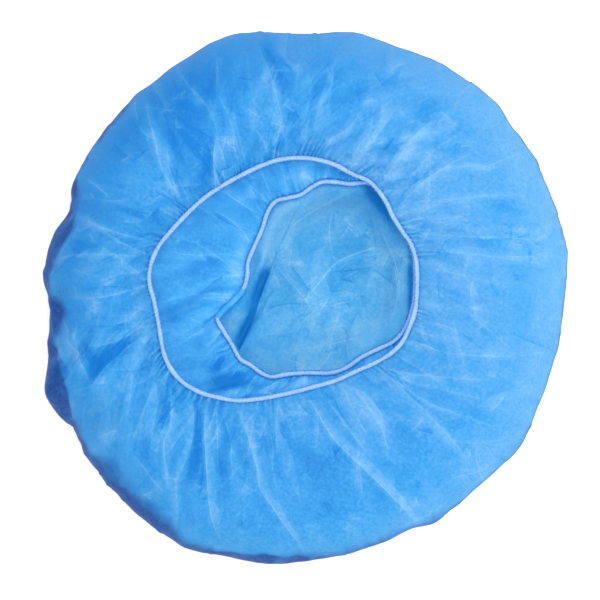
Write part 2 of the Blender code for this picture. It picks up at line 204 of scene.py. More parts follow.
# Folds of the outer layer: route in pixels, height in mm, width in mm of the side to the left of the
# route and of the side to its right, and how much paler the doubled cloth of the fold is
OUTER_FOLDS = (
    # upper left
    (((146, 100), (148, 109), (154, 136), (162, 170), (184, 204)), 2.6, 2.2, 3.8, 0.65),
    (((166, 150), (174, 172), (184, 190), (192, 210)), 1.2, 1.6, 1.6, 0.5),
    (((217, 136), (213, 157), (216, 186), (224, 192)), 2.4, 3.4, 1.9, 0.8),
    (((216, 44), (218, 70), (217, 92), (225, 109), (234, 136), (238, 160)), 1.3, 1.7, 1.7, 0.5),
    (((175, 64), (191, 88), (206, 105), (215, 124)), 1.6, 1.9, 2.6, 0.5),
    (((126, 110), (153, 109), (195, 113)), 0.7, 1.5, 1.5, 0.45),
    (((258, 42), (270, 74), (277, 100), (280, 122), (270, 150)), 1.8, 1.9, 8, 0.55),
    (((246, 46), (250, 80), (254, 112), (250, 140)), 0.9, 3, 2.4, 0.35),
    (((284, 112), (286, 128), (283, 154)), 1.1, 1.8, 1.8, 0.4),
    (((300, 46), (310, 84), (304, 116), (300, 146)), 1.2, 1.7, 1.8, 0.3),
    (((341, 50), (328, 78), (317, 112), (311, 146)), 1.7, 4.2, 2, 0.3),
    (((334, 60), (330, 96), (318, 142)), 1, 1.7, 1.7, 0.4),
    # upper right: two leaf shapes that come to a point at the cord
    (((398, 104), (384, 124), (368, 146), (352, 172)), 1.6, 2, 6, 0.7),
    (((438, 118), (420, 130), (402, 152), (382, 186)), 2.2, 7, 2.6, 0.8),
    (((386, 118), (372, 134), (362, 152), (350, 170)), 1.1, 1.6, 1.6, 0.4),
    (((492, 166), (464, 166), (440, 170), (414, 190), (396, 211)), 1.2, 2, 2, 0.5),
    (((470, 128), (448, 140), (428, 156), (404, 186)), 1.2, 3.6, 1.9, 0.4),
    (((524, 196), (490, 196), (450, 200), (410, 216)), 1, 2.2, 3, 0.35),
    (((562, 243), (510, 238), (460, 236), (418, 232)), 0.9, 1.6, 1.6, 0.45),
    (((550, 267), (505, 258), (455, 252), (420, 250)), 0.9, 1.6, 1.8, 0.4),
    (((520, 292), (490, 282), (450, 272), (422, 268)), 0.8, 1.8, 1.8, 0.35),
    (((520, 357), (492, 332), (462, 308), (424, 284)), 1, 1.7, 1.7, 0.45),
    (((520, 357), (470, 355), (437, 350), (423, 333), (418, 300)), 1.4, 2.2, 1.8, 0.55),
    (((546, 352), (532, 354), (518, 357)), 0.8, 1.8, 1.8, 0.4),
    # lower right
    (((490, 380), (452, 378), (412, 374), (378, 366)), 1.2, 2.6, 1.8, 0.4),
    (((494, 402), (452, 392), (416, 384), (384, 372)), 1, 1.7, 1.7, 0.35),
    (((500, 430), (470, 418), (430, 404), (392, 378)), 1.2, 2.4, 1.8, 0.4),
    (((476, 476), (462, 452), (438, 424), (404, 392), (382, 370)), 1.3, 3.2, 2, 0.45),
    (((506, 452), (478, 470), (448, 478)), 1, 2, 2.4, 0.4),
    (((389, 456), (382, 430), (366, 404), (352, 384)), 1.2, 1.8, 4.6, 0.5),
    # bottom
    (((424, 526), (394, 497), (367, 471), (333, 438), (307, 395)), 2, 1.9, 4.6, 0.8),
    (((376, 464), (352, 434), (324, 397)), 0.9, 1.6, 2.4, 0.5),
    (((402, 524), (430, 512), (452, 496)), 1, 2, 2, 0.4),
    (((298, 446), (289, 425), (276, 401)), 0.9, 1.6, 1.8, 0.45),
    (((308, 554), (278, 515), (260, 489), (257, 470), (248, 438), (236, 404)), 2, 1.9, 3.2, 0.7),
    (((288, 526), (278, 500), (267, 438), (256, 404)), 0.9, 1.6, 1.8, 0.4),
    (((234, 488), (231, 463), (230, 440), (221, 408)), 1, 1.6, 1.6, 0.5),
    (((217, 470), (217, 440), (216, 402)), 1.2, 1.6, 2, 0.6),
    (((223, 545), (215, 526), (208, 497), (204, 434), (206, 402)), 1.8, 1.9, 2.8, 0.7),
    (((256, 508), (259, 528), (263, 512)), 0.8, 1.6, 1.6, 0.4),
    (((176, 536), (179, 513), (176, 480), (187, 456), (193, 421), (190, 392)), 1.8, 4.6, 1.9, 0.45),
    (((169, 493), (163, 447), (170, 423), (170, 386)), 1.4, 1.9, 2.6, 0.6),
    (((132, 442), (148, 398), (165, 366)), 1.4, 2, 3, 0.5),
    (((130, 452), (148, 474), (166, 492)), 1.4, 1.8, 2.6, 0.5),
    (((150, 460), (152, 430), (158, 400), (166, 380)), 0.9, 2.6, 2.6, 0.4),
    # left
    (((70, 390), (90, 388), (105, 368), (119, 355), (133, 343), (150, 334)), 3, 1.9, 9, 0.5),
    (((71, 390), (74, 406), (82, 430), (96, 466)), 2.4, 5, 1.9, 0.5),
    (((84, 214), (68, 246), (58, 266), (53, 290), (55, 318), (62, 352), (73, 390)), 2.6, 5, 1.9, 0.5),
    (((62, 304), (69, 330), (79, 358), (90, 386)), 1.6, 1.9, 3.6, 0.8),
    (((72, 322), (80, 346), (90, 374)), 0.8, 1.9, 1.9, 0.5),
    (((86, 347), (108, 343), (130, 333), (148, 321)), 1.4, 3.2, 1.9, 0.7),
    (((73, 299), (102, 297), (132, 289), (150, 285)), 1.2, 2.2, 1.7, 0.6),
    (((57, 268), (70, 257), (97, 254), (142, 255)), 1.2, 1.7, 2.4, 0.5),
    (((79, 210), (86, 221), (119, 233), (154, 240)), 2.2, 2, 3.6, 0.6),
    (((86, 178), (101, 190), (111, 200)), 1.6, 1.7, 1.7, 0.8),
    (((100, 330), (120, 322), (144, 306)), 0.8, 1.7, 1.7, 0.35),
    (((104, 340), (126, 330), (148, 314)), 0.8, 1.7, 1.7, 0.35),
    (((96, 284), (118, 274), (146, 272)), 0.7, 2.4, 1.8, 0.4),
)
# Leaf-shaped panels of doubled cloth: axis in pixels, half width in mm at the middle, height in mm and paleness
OUTER_LEAVES = (
    (((349, 172), (368, 138), (394, 96)), 5, 0.8, 0.55),
    (((384, 188), (405, 160), (430, 138), (462, 120)), 7, 1, 0.55),
    (((304, 394), (334, 436), (374, 474), (426, 528)), 4.4, 0.9, 0.7),
    (((235, 403), (250, 440), (262, 486), (309, 556)), 3.2, 0.8, 0.4),
    (((205, 400), (208, 440), (212, 500), (224, 546)), 3, 0.7, 0.3),
    (((190, 392), (186, 430), (178, 476), (176, 538)), 5, 1, 0.2),
    (((222, 194), (217, 165), (216, 134)), 2.6, 0.8, 0.7),
    (((184, 206), (164, 160), (148, 98)), 3.2, 0.8, 0.7),
    (((152, 272), (110, 270), (62, 264)), 9.5, 0.8, 0.3),
    (((156, 334), (118, 372), (84, 424)), 9, 0.8, 0.6),
    (((150, 306), (112, 316), (66, 316)), 5, 0.5, 0.4),
    (((417, 248), (480, 256), (552, 264)), 5.6, 0.5, 0.5),
    (((419, 330), (468, 350), (524, 356)), 5.6, 0.6, 0.35),
    (((392, 366), (446, 394), (504, 434)), 6, 0.6, 0.1),
    (((380, 370), (424, 416), (478, 478)), 5, 0.7, 0.35),
    (((300, 152), (308, 100), (302, 46)), 4.2, 0.6, 0.1),
    (((312, 150), (324, 100), (342, 52)), 4.4, 0.6, 0.05),
    (((272, 156), (280, 116), (272, 60)), 3.6, 0.6, 0.4),
    (((338, 384), (360, 404), (386, 432)), 7, 0.8, 0.9),
    (((420, 262), (448, 276), (480, 300)), 7, 0.6, 0.6),
    (((418, 300), (450, 316), (500, 330)), 6, 0.6, 0.25),
    (((466, 230), (510, 236), (552, 240)), 6, 0.6, 0.5),
    (((470, 420), (500, 404), (532, 390)), 6, 0.6, 0.6),
    (((412, 192), (452, 172), (496, 168)), 4.6, 0.6, 0.6),
    (((404, 212), (456, 204), (528, 196)), 4.6, 0.5, 0.4),
    (((232, 186), (232, 130), (216, 60)), 4, 0.6, 0.5),
    (((202, 202), (150, 182), (96, 176)), 5, 0.6, 0.2),
    (((160, 244), (120, 236), (80, 212)), 4, 0.7, 0.6),
    (((168, 366), (150, 420), (134, 462)), 4.6, 0.6, 0.5),
    (((350, 384), (372, 420), (390, 462)), 3.8, 0.6, 0.6),
    (((266, 402), (284, 450), (300, 500)), 3.6, 0.6, 0.5),
)
# Hollows of the outer layer: middle in pixels, half length and half width in mm, turn in degrees,
# depth in mm, and how much darker the cloth's colour is painted there: painted shade in the hollows, and paler where
# below 0
OUTER_HOLLOWS = (
    ((112, 356), 17, 5.4, 44, 4.4, 1.9),
    ((89, 360), 10, 4.4, -66, 2.4, 1.6),
    ((355, 93), 12, 7, 75, 1.6, 0.6),
    ((427, 110), 8, 5, 30, 2.6, 0.9),
    ((455, 146), 13, 8, 30, 1.6, 0.6),
    ((505, 207), 12, 7, 10, 1, 0.5),
    ((172, 140), 16, 3.2, -68, 1.6, 0.8),
    ((178, 180), 10, 2.2, -66, 1.6, 0.8),
    ((190, 128), 24, 12, -62, 0.8, 0.9),
    ((205, 86), 22, 16, 30, 0.4, 0.9),
    ((140, 124), 24, 9, 45, 0.3, 0.6),
    ((264, 60), 12, 8, 90, 0.4, 0.4),
    ((141, 316), 20, 6, 84, 0.1, -0.7),
    ((104, 440), 16, 7, 70, 0.1, -0.6),
    ((430, 362), 20, 11, 0, 0.1, 0.5),
    ((358, 408), 17, 8, -50, 0.1, -0.9),
    ((254, 112), 14, 5, 80, 0.1, -0.5),
    ((330, 78), 14, 7, 75, 0.4, 0.5),
    ((200, 450), 26, 11, 88, 0.4, 0.5),
    ((205, 178), 11, 3.4, 84, 1.8, 0.9),
    ((274, 62), 15, 4, -66, 1.8, 0.8),
    ((288, 90), 15, 4.5, -80, 0.6, 0.4),
    ((78, 244), 9, 8, 20, 1.2, 0.6),
    ((120, 238), 16, 2.6, -14, 1.4, 0.7),
    ((134, 213), 16, 2.2, -14, 1, 0.6),
    ((76, 194), 6, 5, 60, 1, 0.7),
    ((100, 206), 18, 10, 10, 0.4, 0.4),
    ((197, 430), 17, 3, 86, 2, 1),
    ((192, 468), 10, 3.2, 74, 1.4, 0.8),
    ((224, 426), 14, 2.6, -80, 1.4, 0.9),
    ((222, 470), 16, 3.4, -84, 1, 0.7),
    ((241, 455), 16, 3.2, -76, 1, 0.7),
    ((272, 455), 14, 3.4, -72, 0.8, 0.5),
    ((318, 470), 30, 13, -52, 0.8, 0.6),
    ((158, 412), 18, 2.6, 72, 1.6, 0.7),
    ((142, 450), 12, 5, 80, 1.2, 0.6),
    ((408, 438), 14, 8, -52, 1.2, 0.6),
    ((470, 414), 13, 5, -8, 1.2, 0.6),
    ((476, 324), 16, 4, -34, 0.6, 0.4),
    ((430, 320), 8, 4, -60, 0.8, 0.4),
    ((112, 314), 14, 4, 20, 0.6, 0.4),
    ((64, 372), 9, 3, -74, 2, 1),
    ((312, 108), 13, 2.2, 80, 0.6, 0.5),
    ((388, 146), 12, 2.2, 52, 1.2, 0.6),
    ((424, 176), 14, 3, 40, 0.8, 0.4),
)
INNER_FOLDS = (
    (((172, 230), (205, 246), (232, 268), (248, 292)), 0.8, 2.2, 2, 0.4),
    (((166, 248), (200, 253), (236, 251)), 0.6, 1.6, 2.2, 0.4),
    (((214, 206), (236, 222), (252, 244)), 0.8, 2.2, 1.6, 0.4),
    (((200, 282), (222, 276), (242, 274)), 0.6, 1.8, 1.8, 0.4),
    (((196, 300), (216, 298), (238, 292)), 0.6, 1.8, 1.8, 0.4),
    (((160, 268), (184, 288), (210, 300), (232, 302)), 0.6, 1.8, 1.8, 0.3),
    (((180, 344), (200, 330), (222, 312)), 0.7, 1.8, 2.4, 0.4),
    (((206, 350), (214, 340), (224, 328)), 1.4, 2.4, 1.6, 0.6),
    (((212, 368), (220, 356), (232, 344)), 1.4, 2, 1.6, 0.5),
    (((228, 384), (234, 374), (242, 364)), 1.4, 1.8, 1.6, 0.5),
    (((248, 392), (252, 382), (258, 374)), 1.2, 1.6, 1.6, 0.5),
    (((262, 166), (268, 182), (272, 198)), 0.8, 1.6, 1.6, 0.4),
    (((284, 162), (286, 180), (289, 196)), 0.8, 1.6, 1.6, 0.4),
    (((304, 160), (305, 176), (306, 190)), 0.8, 1.6, 1.6, 0.4),
)
INNER_HOLLOWS = (
    ((333, 172), 9, 2.4, -12, 3, 0.7),
    ((298, 178), 13, 5, 0, 0.1, -0.8),
    ((238, 266), 16, 5, 74, 0.1, -0.8),
    ((200, 262), 11, 6, 0, 0.1, 0.5),
    ((300, 384), 20, 3.2, 4, 0.1, -0.9),
    ((402, 320), 8, 3, 60, 0.1, 1.2),
    ((232, 380), 13, 4.8, 14, 2.5, 1.9),
    ((220, 366), 7, 3.6, 60, 1.6, 1.3),
    ((262, 386), 8, 3, 10, 1.4, 0.6),
    ((246, 178), 8, 4, 20, 0.8, 0.5),
    ((206, 258), 9, 4, 10, 0.4, 0.3),
    ((168, 310), 12, 3, -72, 0.6, 0.3),
)
FLOOR_FOLDS = (
    # the deep crease at the left, with painted shade on the side of the wall
    (((238, 354), (243, 342), (252, 322), (258, 304), (263, 289), (268, 276), (272, 264)), 0.5, 4, 1.5, -3.4),
    (((302, 304), (318, 284), (338, 262), (378, 246)), 1, 1.6, 1.8, 0.7),
    (((276, 264), (290, 282), (310, 303)), 0.7, 1.4, 1.4, 0.5),
    (((333, 210), (329, 232), (334, 262)), 0.6, 1.4, 1.6, 0.4),
    (((271, 258), (283, 243), (293, 226), (312, 212), (338, 198), (352, 192)), 1.8, 1.8, 2.4, 0.45),
    (((300, 300), (328, 306), (352, 300)), 0.6, 1.6, 1.6, 0.3),
    (((398, 304), (395, 266), (378, 226)), 0.8, 1.6, 1.6, 0.5),
    (((388, 326), (396, 296), (393, 262)), 0.8, 1.4, 1.6, 0.5),
    (((308, 342), (316, 318), (330, 296)), 0.5, 1.8, 1.8, 0.35),
    (((280, 350), (320, 346), (360, 336)), 0.7, 1.6, 1.8, 0.3),
    (((296, 250), (322, 238), (344, 240)), 0.5, 1.6, 1.6, 0.3),
    (((332, 212), (360, 230), (384, 236)), 0.5, 1.6, 1.6, 0.35),
    # a crease with painted shade along it
    (((268, 276), (276, 256), (285, 235), (296, 212), (306, 198)), 0.4, 2.2, 2.2, -0.6),
)
FLOOR_HOLLOWS = (
    ((261, 284), 13, 2.6, 66, 4.5, 1.1),
    ((248, 326), 14, 2.6, 62, 4.5, 1.1),
    ((233, 322), 12, 4, 60, 0, -0.9),
    ((378, 205), 18, 3.6, -56, 0.5, 2),
    ((409, 283), 26, 1.9, 90, 0.5, 2.5),
    ((350, 240), 9, 9, 0, 0.5, 0.5),
    ((345, 276), 12, 6, 30, 0.5, 0.4),
)
# The edge of the painted shade of the lower side that shows past the ridge at the left and the bottom
LOW_SIDE_EDGE = (
    (372, 545), (305, 555), (232, 552), (195, 545), (160, 527), (128, 503), (104, 478), (90, 455), (80, 432),
    (75, 411), (71, 391), (63, 380), (57, 352), (53, 325), (53, 298), (56, 268), (64, 246), (76, 222),
    (80, 205), (90, 172), (102, 148),
)
# The cloth rises under the left of the inner mouth; its last number is painted shade, and below 0 it is painted light
# that makes the raised cloth paler
FLOOR_RISES = (
    ((270, 226), 19, 8, 62, 7.8, -1.4),
    ((306, 198), 18, 9, 26, 7.5, -0.9),
    ((345, 188), 13, 9, 0, 7.5, -0.1),
    ((262, 262), 11, 3, 70, 4, -0.8),
    ((240, 306), 12, 4, 50, 4.8, 0.4),
    ((422, 285), 38, 21, 90, 9, -0.6),
    ((394, 190), 24, 19, -55, 8.4, -0.1),
    ((325, 386), 46, 18, 4, 7.2, -0.9),
    ((360, 330), 14, 10, 40, 3, -0.7),
)
# How far the floor is drawn up beside the inner mouth: direction from the mouth's middle, rise in mm
FLOOR_DRAWN_UP = (
    (0, 9), (40, 8.5), (60, 8.5), (80, 7.5), (100, 7), (120, 4.5), (140, 2), (160, 0), (235, 0),
    (255, 4), (280, 7.5), (300, 9), (320, 10.5), (340, 10),
)


# ---- forms ----

HALF_DEGREES = np.arange(720) / 2.0
MIDDLE = np.array((*OUTLINE_MIDDLE, 0.0))
OUTER_MOUTH_CENTRE = np.array((MOUTH_X, MOUTH_Y, 0.0))
INNER_MOUTH_CENTRE = np.array((INNER_MOUTH_X, INNER_MOUTH_Y, 0.0))


def bump(distance, half_width):
    return np.exp(-((distance / half_width) ** 2))


def smooth_step(value):
    held = np.clip(value, 0.0, 1.0)
    return held * held * (3.0 - 2.0 * held)


def turned_by(angle, other):
    return (angle - other + 180.0) % 360.0 - 180.0


def turned(x, y, turn_deg):
    """A place measured along and across a direction."""
    turn = math.radians(turn_deg)
    return x * math.cos(turn) + y * math.sin(turn), y * math.cos(turn) - x * math.sin(turn)


def along(angle, distance, height=0.0):
    """Points in those directions in degrees, that far out and that high."""
    angle = np.radians(angle)
    distance = distance + 0.0 * angle
    return np.stack((distance * np.cos(angle), distance * np.sin(angle), height + 0.0 * distance), axis=-1)


def grid_angles(columns):
    return np.arange(columns) * 360.0 / columns


def at_angle(table, angle):
    """What a table of whole and half degrees says at those angles."""
    return np.interp(angle, HALF_DEGREES, table, period=360.0)


def reach_by_angle(points):
    """How far from the origin a closed curve runs, at each whole and half degree."""
    angle = np.degrees(np.arctan2(points[:, 1], points[:, 0]))
    return np.interp(HALF_DEGREES, angle, np.hypot(points[:, 0], points[:, 1]), period=360.0)


def outline_reach():
    """The outline's share of the body's radius at each whole and half degree, its corners a little rounded."""
    angles, reaches = np.array(OUTLINE_CORNERS).T
    corners = along(angles, reaches / 1000.0)[:, :2]
    t = (np.arange(40) / 40.0)[None, :, None]
    edge = (corners[:, None] * (1.0 - t) + np.roll(corners, -1, axis=0)[:, None] * t).reshape(-1, 2)
    reach = reach_by_angle(edge + np.array(OUTLINE_MIDDLE))
    for _ in range(12):
        reach = 0.5 * reach + 0.25 * (np.roll(reach, 1) + np.roll(reach, -1))
    return reach / BODY_RADIUS


OUTLINE_REACH = outline_reach()


def body_point(angle, radius, height):
    """Points of the body: the outline at that radius, drawn in where the side has its tuck."""
    up = smooth_step((height / BODY_HEIGHT - TUCK_FROM_HEIGHT_SHARE) / (1.0 - TUCK_FROM_HEIGHT_SHARE))
    tuck = TUCK_SHARE * bump(turned_by(angle, TUCK_ANGLE_DEG), TUCK_HALF_WIDTH_DEG) * up
    return along(angle, radius * (at_angle(OUTLINE_REACH, angle) - tuck), height)


def plan(route):
    """A route in the photograph's pixels, as metres in the plan."""
    route = np.array(route, dtype=float)
    return np.stack((route[:, 0] - MIDDLE_PIXEL[0], MIDDLE_PIXEL[1] - route[:, 1]), axis=-1) * PIXEL_MM / 1000.0


def cubic(t, first, first_slope, last, last_slope):
    """Points at share t of the way along a smooth curve from first to last."""
    return (
        (2.0 * t ** 3 - 3.0 * t ** 2 + 1.0) * first
        + (t ** 3 - 2.0 * t ** 2 + t) * first_slope
        + (3.0 * t ** 2 - 2.0 * t ** 3) * last
        + (t ** 3 - t ** 2) * last_slope
    )


def closed_curve(points, each=24):
    """A smooth closed curve through the points."""
    after = np.roll(points, -1, axis=0)
    slope = (after - np.roll(points, 1, axis=0)) / 2.0
    t = (np.arange(each) / each)[None, :, None]
    made = cubic(t, points[:, None], slope[:, None], after[:, None], np.roll(slope, -1, axis=0)[:, None])
    return made.reshape(-1, points.shape[1])


def open_curve(points, each=5):
    """A smooth curve through the points, from the first to the last."""
    slope = np.gradient(points, axis=0)
    t = (np.arange(each) / each)[None, :, None]
    made = cubic(t, points[:-1, None], slope[:-1, None], points[1:, None], slope[1:, None])
    return np.vstack((made.reshape(-1, 2), points[-1:]))


def cord_reach(route, centre):
    return reach_by_angle(closed_curve(plan(route)) + np.array(OUTLINE_MIDDLE) - centre[:2])


OUTER_REACH = cord_reach(OUTER_CORD_ROUTE, OUTER_MOUTH_CENTRE)
INNER_REACH = cord_reach(INNER_CORD_ROUTE, INNER_MOUTH_CENTRE)


def outer_mouth(angle):
    """The outer cord's middle line."""
    sag = MOUTH_SAG * np.cos(np.radians(3.0 * angle))
    return along(angle, at_angle(OUTER_REACH, angle), MOUTH_HEIGHT + sag) + OUTER_MOUTH_CENTRE


def inner_mouth(angle):
    """The inner cord's middle line, lowest towards INNER_MOUTH_LOW_DEG."""
    lowness = (1.0 + np.cos(np.radians(angle - INNER_MOUTH_LOW_DEG))) / 2.0
    drop = INNER_MOUTH_DEPTH + INNER_MOUTH_EXTRA_DEPTH * lowness
    return along(angle, at_angle(INNER_REACH, angle), MOUTH_HEIGHT - drop) + INNER_MOUTH_CENTRE


def off_route(mouth, angle, grown):
    """Points beside a mouth's cord, at right angles to it in the plan."""
    way = mouth(angle + 0.8) - mouth(angle - 0.8)
    out = np.stack((way[..., 1], -way[..., 0], 0.0 * way[..., 0]), axis=-1)
    return mouth(angle) + grown * out / np.linalg.norm(out, axis=-1, keepdims=True)


def below_outer_mouth(angle):
    """Where the inner layer passes below the edge of the outer mouth, as seen from its own mouth's centre."""
    way = along(angle, 1.0)
    way_long, way_wide = turned(way[..., 0], way[..., 1], MOUTH_TURN_DEG)
    start_long, start_wide = turned(INNER_MOUTH_X - MOUTH_X, INNER_MOUTH_Y - MOUTH_Y, MOUTH_TURN_DEG)
    way_long, start_long = way_long / MOUTH_HALF_LENGTH, start_long / MOUTH_HALF_LENGTH
    way_wide, start_wide = way_wide / MOUTH_HALF_WIDTH, start_wide / MOUTH_HALF_WIDTH
    square = way_long ** 2 + way_wide ** 2
    linear = way_long * start_long + way_wide * start_wide
    rest = start_long ** 2 + start_wide ** 2 - 1.0
    reach = (np.sqrt(np.maximum(0.0, linear ** 2 - square * rest)) - linear) / square
    distance = np.maximum(reach, at_angle(INNER_REACH, angle) + RIM_MARGIN)
    depth = MOUTH_SAG + OUTER_ELASTIC_DIAMETER / 2.0 + WALL + MOUTH_CLEARANCE
    return along(angle, distance, MOUTH_HEIGHT - depth) + INNER_MOUTH_CENTRE


def floor_height(points):
    """How high the cap's folded crown lifts the floor."""
    height = np.zeros(points.shape[:-1])
    for x, y, half_length, half_width, turn_deg, share in FLOOR_BULGES:
        place = points / FOOT_RADIUS
        lengthwise, sidewise = turned(place[..., 0] - x, place[..., 1] - y, turn_deg)
        height += share * BODY_HEIGHT * bump(lengthwise, half_length) * bump(sidewise, half_width)
    return height


def side_rings(table, angles, foot_radius, radius, floor, crest):
    rings = [body_point(angles, foot_radius, floor)]
    for outward, drawn_in, height_share in table:
        reach = foot_radius + outward * (radius - foot_radius) - drawn_in * radius
        rings.append(body_point(angles, reach, floor + height_share * (crest - floor)))
    return rings


def top_rings(table, outside, edge, rise_top):
    rings = []
    for inward, rise in table:
        ring = outside + (edge - outside) * inward
        ring[..., 2] = edge[..., 2] + rise * (rise_top - edge[..., 2])
        rings.append(ring)
    return rings


def through(sections, rows, few, length):
    """A grid on a smooth curve through the sections. The first share of its rows, few, lies in the first share
    of its length.
    """
    sections = np.stack(sections)
    steps = np.linalg.norm(np.diff(sections, axis=0), axis=-1).mean(axis=1)
    knots = np.concatenate(([0.0], np.cumsum(steps)))
    slopes = np.gradient(sections, knots, axis=0)
    places = np.interp(np.linspace(0.0, 1.0, rows), (0.0, few, 1.0), (0.0, length, 1.0)) * knots[-1]
    number = np.clip(np.searchsorted(knots, places, side="right") - 1, 0, len(knots) - 2)
    width = (knots[number + 1] - knots[number])[:, None, None]
    t = (places - knots[number])[:, None, None] / width
    return cubic(t, sections[number], slopes[number] * width, sections[number + 1], slopes[number + 1] * width)


def outer_form(angles, rows):
    """The outer layer before it crumples, from the foot over the side to the outer mouth."""
    side = side_rings(OUTER_SECTIONS, angles, FOOT_RADIUS, BODY_RADIUS, 0.0, CREST_SHARE * BODY_HEIGHT)
    mouth = off_route(outer_mouth, angles, OUTER_HEM)
    mouth[:, 2] += 0.0002
    top = top_rings(OUTER_TOP, side[-1], mouth, BODY_HEIGHT)
    first = body_point(angles, FOOT_RADIUS * FIRST_SHARE, 0.0)
    form = through([first] + side + top, rows, 0.17, 0.33)
    form[..., 2] = np.maximum(form[..., 2], LOWEST)
    return form


def inner_form(angles, rows):
    """The inner layer before it crumples, from the foot over the side and below the outer mouth to its own."""
    crest = CREST_SHARE * BODY_HEIGHT - WALL - TOP_SLACK
    side = side_rings(INNER_SECTIONS, angles, INNER_FOOT, BODY_RADIUS - WALL - SIDE_SLACK, INNER_FLOOR, crest)
    below = below_outer_mouth(angles)
    top = top_rings(INNER_TOP, side[-1], below, side[-1][:, 2])
    rim = top_rings(INNER_RIM, below, off_route(inner_mouth, angles, INNER_HEM), below[:, 2])
    first = body_point(angles, INNER_FOOT * FIRST_SHARE, INNER_FLOOR)
    return through([first] + side + top + rim, rows, 0.22, 0.50)


# ---- noise and settling ----

def soft_noise(rows, columns, row_waves, column_waves, rng):
    """Smooth noise over the grid, with about that many waves along it and round it."""
    field = rng.normal(0.0, 1.0, (rows * 2, columns))
    row_rate = np.fft.fftfreq(rows * 2, 1.0 / rows)[:, None]
    column_rate = np.fft.rfftfreq(columns, 1.0 / columns)[None, :]
    keep = np.exp(-((row_rate / row_waves) ** 2) - ((column_rate / column_waves) ** 2))
    made = np.fft.irfft2(np.fft.rfft2(field) * keep, s=field.shape)[:rows]
    return made / made.std()


def plan_noise(points, wave_mm, seed):
    """Smooth noise in the plan, with waves of about that length."""
    count, across = 512, 0.44
    rng = np.random.default_rng(seed)
    rate, rate_y = np.fft.fftfreq(count, across / count), np.fft.rfftfreq(count, across / count)
    size = np.hypot(rate[:, None], rate_y[None, :]) * wave_mm / 1000.0
    keep = np.exp(-((size - 0.55) / 0.35) ** 2)
    made = np.fft.irfft2(np.fft.rfft2(rng.normal(0.0, 1.0, (count, count))) * keep, s=(count, count))
    made /= made.std()
    x = (points[..., 0] / across + 0.5) * count
    y = (points[..., 1] / across + 0.5) * count
    left, low = np.floor(x).astype(int), np.floor(y).astype(int)
    right_share, up_share = smooth_step(x - left), smooth_step(y - low)
    left, low = left % count, low % count
    right, up = (left + 1) % count, (low + 1) % count
    lower = made[left, low] * (1.0 - right_share) + made[right, low] * right_share
    upper = made[left, up] * (1.0 - right_share) + made[right, up] * right_share
    return lower * (1.0 - up_share) + upper * up_share


def unit_normals(points):
    round_way = np.roll(points, -1, axis=1) - np.roll(points, 1, axis=1)
    normals = np.cross(round_way, np.gradient(points, axis=0))
    return normals / np.maximum(np.linalg.norm(normals, axis=-1, keepdims=True), 1e-12)


def blurred(field, times):
    for _ in range(times):
        field = 0.5 * field + 0.25 * (np.roll(field, 1, axis=1) + np.roll(field, -1, axis=1))
        ends = np.concatenate((field[:1], field, field[-1:]))
        field = 0.5 * field + 0.25 * (ends[:-2] + ends[2:])
    return field


def finer(field, rows, columns):
    """A grid brought to more rows and columns, smoothly."""
    wide = np.fft.irfft(np.fft.rfft(field, axis=1), n=columns, axis=1) * (columns / field.shape[1])
    slopes = np.gradient(wide, axis=0)
    places = np.linspace(0.0, len(wide) - 1.0, rows)
    number = np.minimum(places.astype(int), len(wide) - 2)
    t = (places - number)[:, None, None]
    return cubic(t, wide[number], slopes[number], wide[number + 1], slopes[number + 1])


def lengthen(a, b, rest, share=1.0):
    """The correction that gives the spans from a to b their rest length."""
    away = b - a
    length = np.sqrt(np.einsum("...i,...i->...", away, away)) + 1e-12
    return away * (share * 0.5 * (length - rest) / length)[..., None]


def settle(form, start, extra_round, extra_along, hold, bend_round, bend_along, steps):
    """Lets a sheet with more cloth than its form has room for buckle about that form.

    form and start are grids of points, closed round the cap. extra_round and extra_along are how many times
    longer the cloth is than its form, and hold is how firmly it keeps to the form. The end rows stay in place.
    """
    round_rest = np.linalg.norm(np.roll(form, -1, axis=1) - form, axis=-1) * np.reshape(extra_round, (-1, 1))
    along_rest = np.linalg.norm(form[1:] - form[:-1], axis=-1) * extra_along
    slant_rest = np.sqrt(along_rest ** 2 + (0.5 * (round_rest[1:] + round_rest[:-1])) ** 2)
    points, before = start.copy(), start.copy()
    for _ in range(steps):
        points, before = points + SWING * (points - before), points
        for _ in range(6):
            for first in (0, 1):
                after = np.roll(points, -1, axis=1)[:, first::2]
                fix = lengthen(points[:, first::2], after, round_rest[:, first::2])
                points[:, first::2] += fix
                points[:, 1 - first::2] -= np.roll(fix, first, axis=1)
            for first in (0, 1):
                upper = points[first + 1::2]
                lower = points[first:-1:2][: len(upper)]
                fix = lengthen(lower, upper, along_rest[first::2][: len(upper)])
                lower += fix
                upper -= fix
                for shift in (-1, 1):
                    slant = slant_rest[first::2][: len(upper)]
                    fix = lengthen(lower, np.roll(upper, shift, axis=1), slant, SLANT_SHARE)
                    lower += fix
                    upper -= np.roll(fix, -shift, axis=1)
            points += bend_round * (0.5 * (np.roll(points, 1, axis=1) + np.roll(points, -1, axis=1)) - points)
            points[1:-1] += bend_along * (0.5 * (points[2:] + points[:-2]) - points[1:-1])
            points += hold * (form - points)
            points[END_ROWS] = start[END_ROWS]
        points[..., 2] = np.maximum(points[..., 2], 0.0003)
    return points


def crumple(make_form, rows, columns, fullness, extra_along, seed, wave_mm, size, steps, carried=None):
    """Lets a coarse grid of the form buckle, and gives how far each point moved.

    fullness: how many times longer the cloth is round the cap, how much more that gets, and from and over
    which share of the rows.
    """
    form = make_form(grid_angles(columns), rows)
    way = np.linspace(0.0, 1.0, rows)
    aim = form if carried is None else form + finer(carried, rows, columns)
    swell = smooth_step((way - 0.14) / 0.2) * smooth_step((1.02 - way) / 0.12)
    noise = plan_noise(form, wave_mm, seed)
    start = aim + unit_normals(form) * (size * swell[:, None] * noise)[..., None]
    base, more, begins, over = fullness
    extra_round = base + more * smooth_step((way - begins) / over)
    return settle(aim, start, extra_round, extra_along, 0.012, 0.03, 0.05, steps) - form


